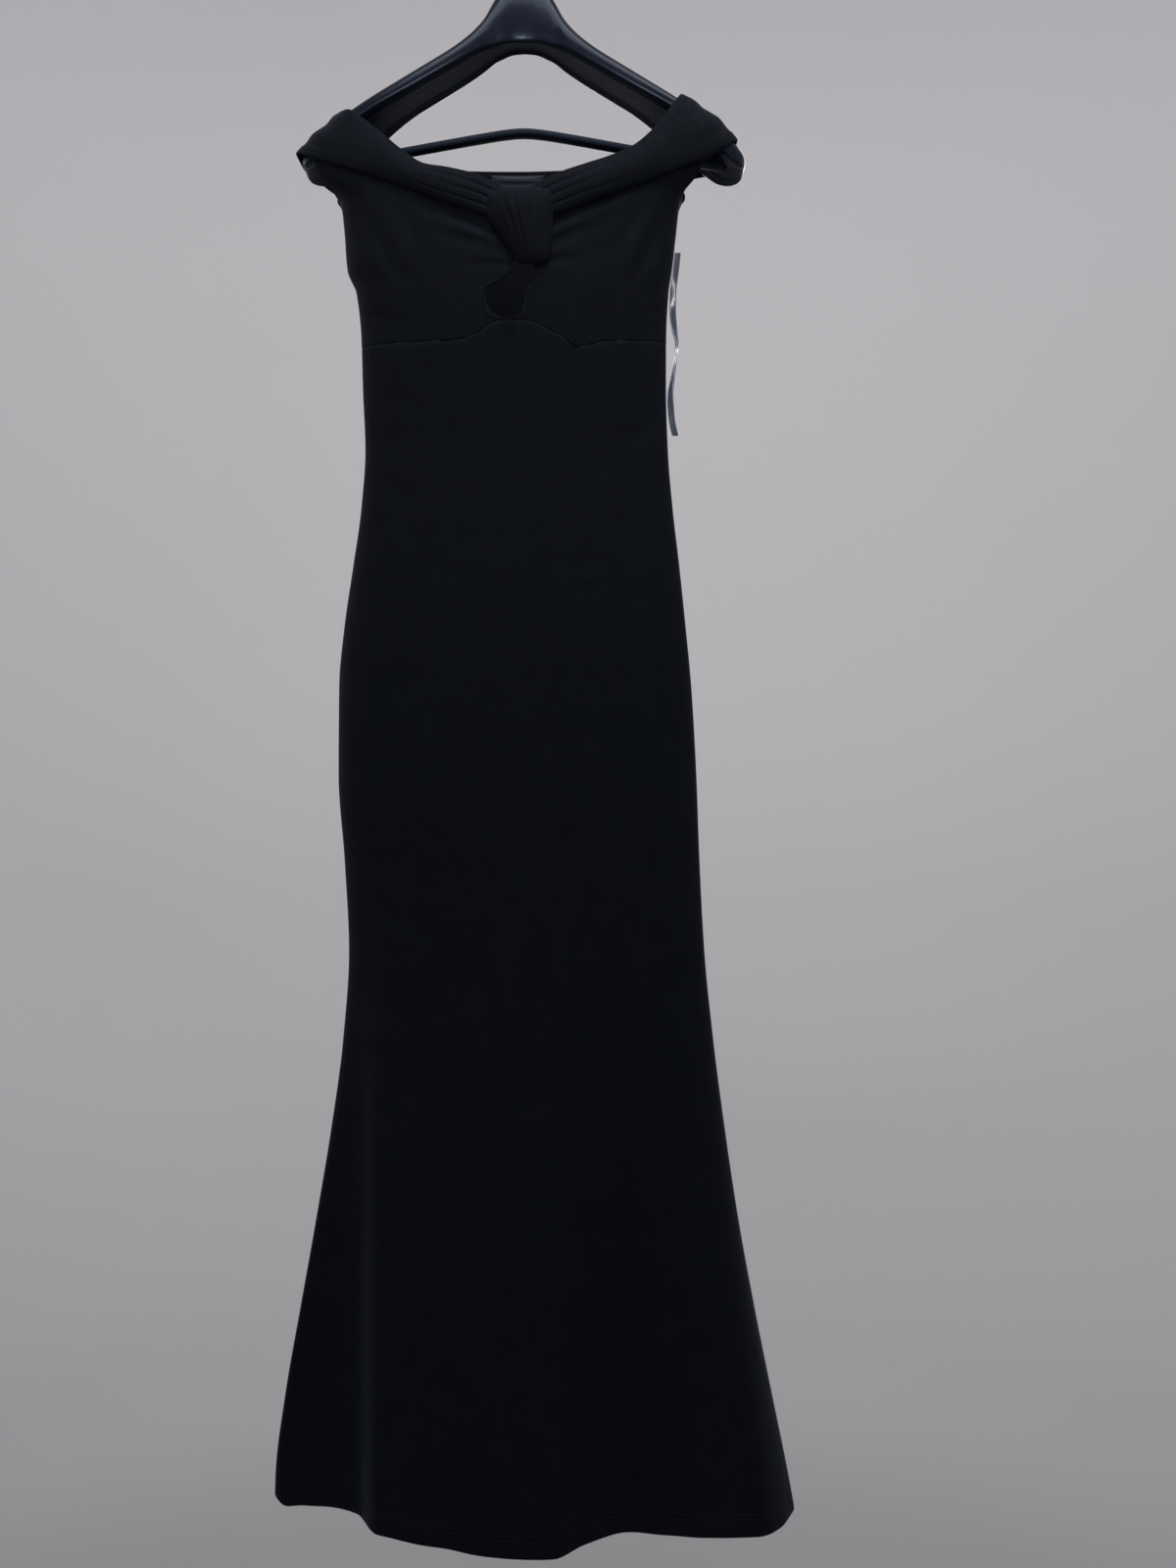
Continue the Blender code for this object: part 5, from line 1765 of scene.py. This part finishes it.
@dataclass
class Hanger:
    """The wide-shouldered plastic hanger with its trouser bar and its wire hook."""

    arms: tuple[Arm, ...] = table(
        Arm,
        (0.0000, -0.0650, -0.1337, -0.1345, 0.022),
        (0.0100, -0.0656, -0.1340, -0.1350, 0.023),
        (0.0160, -0.0690, -0.1350, -0.1362, 0.025),
        (0.0220, -0.0765, -0.1366, -0.1385, 0.027),
        (0.0275, -0.0850, -0.1384, -0.1408, 0.028),
        (0.0322, -0.0934, -0.1403, -0.1434, 0.030),
        (0.0381, -0.1049, -0.1429, -0.1470, 0.0345),
        (0.0467, -0.1165, -0.1480, -0.1520, 0.0392),
        (0.0583, -0.1281, -0.1553, -0.1588, 0.0425),
        (0.0731, -0.1396, -0.1644, -0.1672, 0.0450),
        (0.0910, -0.1512, -0.1752, -0.1776, 0.047),
        (0.1092, -0.1627, -0.1860, -0.1885, 0.0485),
        (0.1275, -0.1742, -0.1962, -0.2025, 0.0495),
        (0.1463, -0.1858, -0.2070, -0.2195, 0.050),
        (0.1650, -0.1978, -0.2200, -0.2370, 0.050),
        (0.1800, -0.2080, -0.2330, -0.2490, 0.050),
        (0.1950, -0.2195, -0.2480, -0.2590, 0.048),
        (0.2050, -0.2290, -0.2560, -0.2610, 0.044),
        (0.2120, -0.2375, -0.2580, -0.2605, 0.036),
        (0.2160, -0.2440, -0.2565, -0.2580, 0.026),
        (0.2178, -0.2495, -0.2520, -0.2525, 0.010),
    )
    front_section: tuple[Corner, ...] = table(
        Corner,
        (0.0, 0.03), (0.52, 0.024), (0.6, 0.006), (0.66, 0.004), (0.8, 0.0), (0.9, 0.0),
        (0.95, 0.012), (0.985, 0.045), (0.998, 0.095), (1.0, 0.17), (0.99, 0.33), (0.95, 0.5),
        (0.88, 0.63), (0.76, 0.75), (0.56, 0.87), (0.3, 0.965), (0.0, 1.0),
    )
    back_section: tuple[Corner, ...] = table(
        Corner,
        (0.0, 0.03), (0.52, 0.024), (0.6, 0.006), (0.66, 0.012), (0.88, 0.0), (0.96, 0.012),
        (0.995, 0.05), (0.99, 0.11), (0.96, 0.3), (0.89, 0.52), (0.76, 0.72), (0.56, 0.87),
        (0.3, 0.965), (0.0, 1.0),
    )
    stations: int = 150
    around: int = 80
    matte_below: float = 0.018
    tip_from: float = 0.165
    tip_blend: float = 0.030
    ridge_at: float = 0.080
    ridge_width: float = 0.045
    face_polish: float = 0.5
    frame_sharp_deg: float = 50.0
    bar_top: float = -0.2188
    bar_slope: float = 0.186
    bar_rounding: float = 0.018
    bar_reach: float = 0.198
    bar_half_height: float = 0.0040
    bar_half_depth: float = 0.0056
    bar_squareness: float = 0.7
    bar_stations: int = 161
    bar_around: int = 28
    wire: float = 0.0019
    wire_around: int = 24
    wire_sharp_deg: float = 40.0
    hook_inner: float = 0.0190
    hook_start_deg: float = -52.0
    hook_end_deg: float = 212.0
    hook_stations: int = 110
    tip_stations: int = 5
    tip_cut: float = 0.98
    ferrule: float = 0.0046
    ferrule_length: float = 0.0060
    ferrule_sunk: float = 0.004
    ferrule_lip: float = 0.0002
    rim: float = 0.0006
    rim_steps: tuple[float, ...] = (0.0, 0.2, 0.6, 1.0, 1.4)
    collar: tuple[float, ...] = (1, 0.90, 0.95, 1, 1, 1, 1, 1, 0.95, 0.90, 0.80)
    neck_top: float = -0.0650
    shank_top: float = -0.0500
    bend_pull: float = 0.012
    bend_stations: int = 24

    def half_section(self, corners: Sequence[Corner]) -> Array:
        """Half a section as even steps along the smooth curve through its corners.

        Args:
            corners: The corners, from the underside's middle to the top's middle.

        Returns:
            How far out and up each point is, one point a row.
        """
        run = run_along(np.array(corners))
        at = run[-1] * np.linspace(0, 1, self.around)
        return np.stack([limited_cubic(at, run, column) for column in zip(*corners)], axis=-1)

    def frame_surface(self) -> tuple[Surface, Array]:
        """The arms and neck: one closed section swept from tip to tip.

        At each place the section's corners are spread by half the arm's depth and stand between its
        underside, which slopes from front to back, and its top.

        Returns:
            The surface, and how polished each of its points is: most on the ridges that hands and
            clothes rub, and least on the flat underside, which keeps the mould's matte face up to
            the tips.
        """
        turn = np.linspace(-np.pi / 2, np.pi / 2, 2 * self.stations + 1)
        reach = self.arms[-1].x * np.sin(turn)
        place = np.abs(reach)
        names = ("top", "under_front", "under_back", "depth")
        top, front, back, depth = (read(self.arms, place, "x", name)[:, None] for name in names)
        front_half = self.half_section(self.front_section)
        back_half = self.half_section(self.back_section)[-2:0:-1]
        out = np.concatenate([-front_half[:, 0], back_half[:, 0]])
        up = np.concatenate([front_half[:, 1], back_half[:, 1]])
        under = (front + back) / 2 + (back - front) / 2 * out
        z = under + (top - under) * up
        x = np.broadcast_to(reach[:, None], z.shape)
        surface = swept(np.stack([x, depth / 2 * out, z], axis=-1))
        at_tip = smoothstep((place - self.tip_from) / self.tip_blend)[:, None]
        face = np.maximum(smoothstep((up - self.matte_below) / self.matte_below), at_tip)
        rubbed = np.exp(-(((up - self.ridge_at) / self.ridge_width) ** 2))
        polish = self.face_polish * face + (1 - self.face_polish) * rubbed
        return surface, np.pad(polish.ravel(), (0, len(surface.points) - polish.size), mode="edge")

    def bar_surface(self) -> Surface:
        """The trouser bar: a rounded strip that falls with the hyperbola of its distance out.

        Returns:
            The closed strip.
        """
        x = np.linspace(-self.bar_reach, self.bar_reach, self.bar_stations)
        z = self.bar_top - self.bar_slope * (np.hypot(x, self.bar_rounding) - self.bar_rounding)
        turn = full_turn(self.bar_around)
        y = self.bar_half_depth * squared_off(np.cos(turn), self.bar_squareness)
        up = self.bar_half_height * squared_off(np.sin(turn), self.bar_squareness)
        return swept(np.stack(np.broadcast_arrays(x[:, None], y, z[:, None] + up), axis=-1))

    def bend(self, start: Array, end: Array, way: Array) -> Array:
        """The bend between shank and hook: a cubic curve that leaves upwards.

        Args:
            start: Where the shank ends, sideways and up.
            end: Where the hook's arc starts.
            way: The arc's direction there.

        Returns:
            Points of the bend, without its end.
        """
        share = np.linspace(0, 1, self.bend_stations)[:-1, None]
        leave = start + np.array([0.0, self.bend_pull])
        arrive = end - way * self.bend_pull
        return (
            (1 - share) ** 3 * start
            + 3 * (1 - share) ** 2 * share * leave
            + 3 * (1 - share) * share**2 * arrive
            + share**3 * end
        )

    def hook_surface(self) -> Surface:
        """The hook: a ferrule, a straight shank, a bend and an arc, swept with a round section.

        Returns:
            The closed surface.
        """
        radius = self.hook_inner + self.wire
        start = math.radians(self.hook_start_deg)
        angles = np.radians(np.linspace(self.hook_start_deg, self.hook_end_deg, self.hook_stations))
        arc = np.stack([radius * np.cos(angles), radius * np.sin(angles) - self.hook_inner], -1)
        arc_way = np.array([-math.sin(start), math.cos(start)])
        bend = self.bend(np.array([0.0, self.shank_top]), arc[0], arc_way)
        low = np.array(self.rim_steps) * self.rim
        top = self.neck_top + self.ferrule_length
        heights = [[self.neck_top - self.ferrule_sunk], self.neck_top + low, top - low[::-1]]
        heights = np.concatenate([*heights, [top + self.ferrule_lip]])
        path = np.concatenate([np.stack([0 * heights, heights], -1), bend, arc])
        radii = np.full(len(path), self.wire)
        radii[: len(self.collar)] = np.array(self.collar) * self.ferrule
        tip = np.linspace(0, self.tip_cut, self.tip_stations)
        radii[-self.tip_stations :] = self.wire * np.sqrt(np.clip(1 - tip**2, 0, 1))
        along = np.gradient(path, axis=0)
        along[: len(heights)] = (0.0, 1.0)
        along = unit(along)
        turn = full_turn(self.wire_around)
        across = np.stack([along[:, 1], 0 * along[:, 0], -along[:, 0]], -1)
        middle = np.stack([path[:, 0], 0 * path[:, 0], path[:, 1]], -1)
        side = across[:, None] * (radii[:, None] * np.cos(turn))[..., None]
        depth = np.array([0.0, 1.0, 0.0]) * (radii[:, None] * np.sin(turn))[..., None]
        return swept(middle[:, None] + side + depth)

    def build(self) -> None:
        """Makes the moulded frame, the bar and the hook, and says how polished the plastic is."""
        surface, polish = self.frame_surface()
        moulding = (surface, PlasticFinish(), Slot.PLASTIC, "hanger_frame", self.frame_sharp_deg)
        named_values(add_piece("hanger_moulding", *moulding).data, "polish", polish)
        strip = self.bar_surface()
        bar = add_piece("hanger_bar_strip", strip, BarFinish(), Slot.PLASTIC, "hanger_bar")
        named_values(bar.data, "polish", np.full(len(strip.points), self.face_polish))
        wire = (self.hook_surface(), WireFinish(), Slot.WIRE, "hanger_hook", self.wire_sharp_deg)
        add_piece("hook_wire", *wire)


# ==== The studio ====


# Painted shade: the sweep is painted darker on the floor and low wall and paler up the wall.
class PaintedShade(NamedTuple):
    """How pale the sweep is at a distance along its section from the floor's middle."""

    run: float
    pale: float


class Lamp(NamedTuple):
    """A soft rectangular light that the camera doesn't see."""

    name: str
    place: Triple
    target: Triple
    size: Pair
    watts: float
    colour: Triple

    def build(self) -> Object:
        """Makes the light.

        Returns:
            The light.
        """
        light = bpy.data.lights.new(self.name, "AREA")
        light.shape = "RECTANGLE"
        light.size, light.size_y = self.size
        light.energy = self.watts
        light.color = self.colour
        made = linked(self.name, light)
        made.location = self.place
        way = np.array(self.target) - np.array(self.place)
        level = math.hypot(way[0], way[1])
        made.rotation_euler = (math.atan2(level, -way[2]), 0.0, math.atan2(-way[0], way[1]))
        made.visible_camera = False
        return made


@dataclass
class Studio:
    """A round pale sweep of floor and wall, far from the dress, with soft light and the camera."""

    floor: float = -2.9
    floor_radius: float = 3.4
    floor_hole: float = 0.02
    fillet: float = 1.5
    wall_top: float = 3.8
    floor_steps: int = 20
    fillet_steps: int = 24
    wall_steps: int = 12
    around: int = 96
    air_tint: tuple[float, float, float, float] = (0.93, 0.93, 1.0, 1.0)
    air_strength: float = 0.375
    # Painted shade: how pale the sweep is painted at stations along its section.
    painted_shades: tuple[PaintedShade, ...] = table(
        PaintedShade,
        (0.0, 0.3), (2.0, 0.31), (3.0, 0.44), (4.3, 0.57), (5.3, 0.69), (6.3, 0.75), (7.3, 0.78),
        (8.2, 0.84), (9.2, 0.92), (11.0, 0.95),
    )
    lamps: tuple[Lamp, ...] = table(
        Lamp,
        ("top_light", (0.1, -0.6, 0.9), (0, 0, -0.5), (1.2, 0.7), 19.4, (1.0, 0.98, 1.0)),
        ("right_light", (2.6, 0.3, -0.3), (0, 0, -0.8), (1.2, 2.2), 9.0, (0.93, 0.96, 1.0)),
        ("left_light", (-2.6, 0.5, -0.2), (0, 0, -0.7), (1.2, 2.2), 21.0, (0.93, 0.95, 1.0)),
        ("key_light", (-0.05, -2.6, 0.85), (0, 0, -0.5), (0.36, 0.36), 13.7, (1.0, 0.99, 1.0)),
        ("front_light", (0.06, -1.9, -1.0), (0, 0, -0.6), (0.9, 0.9), 3.8, (1.0, 1.0, 1.0)),
        ("back_light", (0.4, 3.0, 0.7), (0, 0, -0.7), (1.6, 1.6), 39.0, (0.96, 0.97, 1.0)),
        ("wall_light", (0.0, 0.9, 0.1), (0.0, 4.9, 0.1), (3.0, 3.0), 34.0, (1.0, 0.99, 1.0)),
    )
    camera_place: Triple = (0.063, -1.21, -0.862)
    focal_px: float = 1248.0
    sensor: float = 36.0
    clip_end: float = 50.0

    def sweep(self) -> Object:
        """The floor, a quarter-round fillet and the wall, turned round the dress.

        Returns:
            The sweep, with the paleness of its painted shade at each point.
        """
        turn = np.linspace(0, np.pi / 2, self.fillet_steps)
        outer = self.floor_radius + self.fillet
        floor = np.linspace(self.floor_hole, self.floor_radius, self.floor_steps)[:-1]
        wall = np.linspace(self.floor + self.fillet, self.wall_top, self.wall_steps + 1)[1:]
        rounded = self.floor_radius + self.fillet * np.sin(turn)
        radius = np.concatenate([floor, rounded, np.full(len(wall), outer)])
        risen = self.floor + self.fillet * (1 - np.cos(turn))
        height = np.concatenate([np.full(len(floor), self.floor), risen, wall])
        round_it = full_turn(self.around)
        x = radius[:, None] * np.cos(round_it)
        y = radius[:, None] * np.sin(round_it)
        points = np.stack([x, y, height[:, None] + 0 * x], -1).reshape(-1, 3)
        here = np.arange(self.around)
        fan = np.stack([np.full(len(here), len(points)), np.roll(here, -1), here], -1)
        points = np.concatenate([points, [[0.0, 0.0, self.floor]]])
        surface = Surface(points, grid_quads(len(radius), self.around, closed=True), fan)
        made = plain_object("studio_sweep", surface, BackdropFinish())
        # Painted shade: how pale each point of the sweep is, read along its section.
        run = run_along(np.stack([radius, height], axis=-1))
        pale = np.repeat(read(self.painted_shades, run, "run", "pale"), self.around)
        named_values(made.data, "painted_shade", np.append(pale, self.painted_shades[0].pale))
        return made

    def camera(self) -> Object:
        """The camera, level and square to the dress, whose lens gives the focal length in pixels.

        Returns:
            The camera.
        """
        data = bpy.data.cameras.new("camera")
        data.sensor_width = self.sensor
        data.lens = self.focal_px / PICTURE_HEIGHT_PX * self.sensor
        data.clip_end = self.clip_end
        made = linked("camera", data)
        made.location = self.camera_place
        made.rotation_euler = (math.pi / 2, 0.0, 0.0)
        bpy.context.scene.camera = made
        return made

    def build(self) -> None:
        """Sets up the sweep, the lights, the air's light and the camera."""
        self.sweep()
        for lamp in self.lamps:
            lamp.build()
        world = bpy.data.worlds.new("air")
        world.use_nodes = True
        air = world.node_tree.nodes["Background"]
        air.inputs["Color"].default_value = self.air_tint
        air.inputs["Strength"].default_value = self.air_strength
        bpy.context.scene.world = world
        bpy.context.scene.view_settings.view_transform = "Standard"
        self.camera()


# ==== The whole ====


@dataclass
class Dress:
    """The whole dress: its panels, bands, knot, label and loop."""

    form: BodyForm

    def build(self) -> None:
        """Makes every cloth piece."""
        skirt = FrontSkirt(self.form).build()
        back = BackPanel(self.form).build()
        busts = [BustPanel(self.form, side=side).build() for side in Side]
        bands = [NeckBand(side).build() for side in Side]
        Knot().build()
        label = NeckLabel(self.form).build()
        HangingLoop(self.form).build()


def main() -> None:
    """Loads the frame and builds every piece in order."""
    logging.basicConfig(level=logging.INFO, format="%(message)s")
    for thing in list(bpy.data.objects):
        bpy.data.objects.remove(thing, do_unlink=True)
    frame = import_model()
    LOG.info("frame: %d nodes", len(frame["nodes"]))
    Studio().build()
    Hanger().build()
    Dress(BodyForm()).build()


if __name__ == "__main__":
    main()
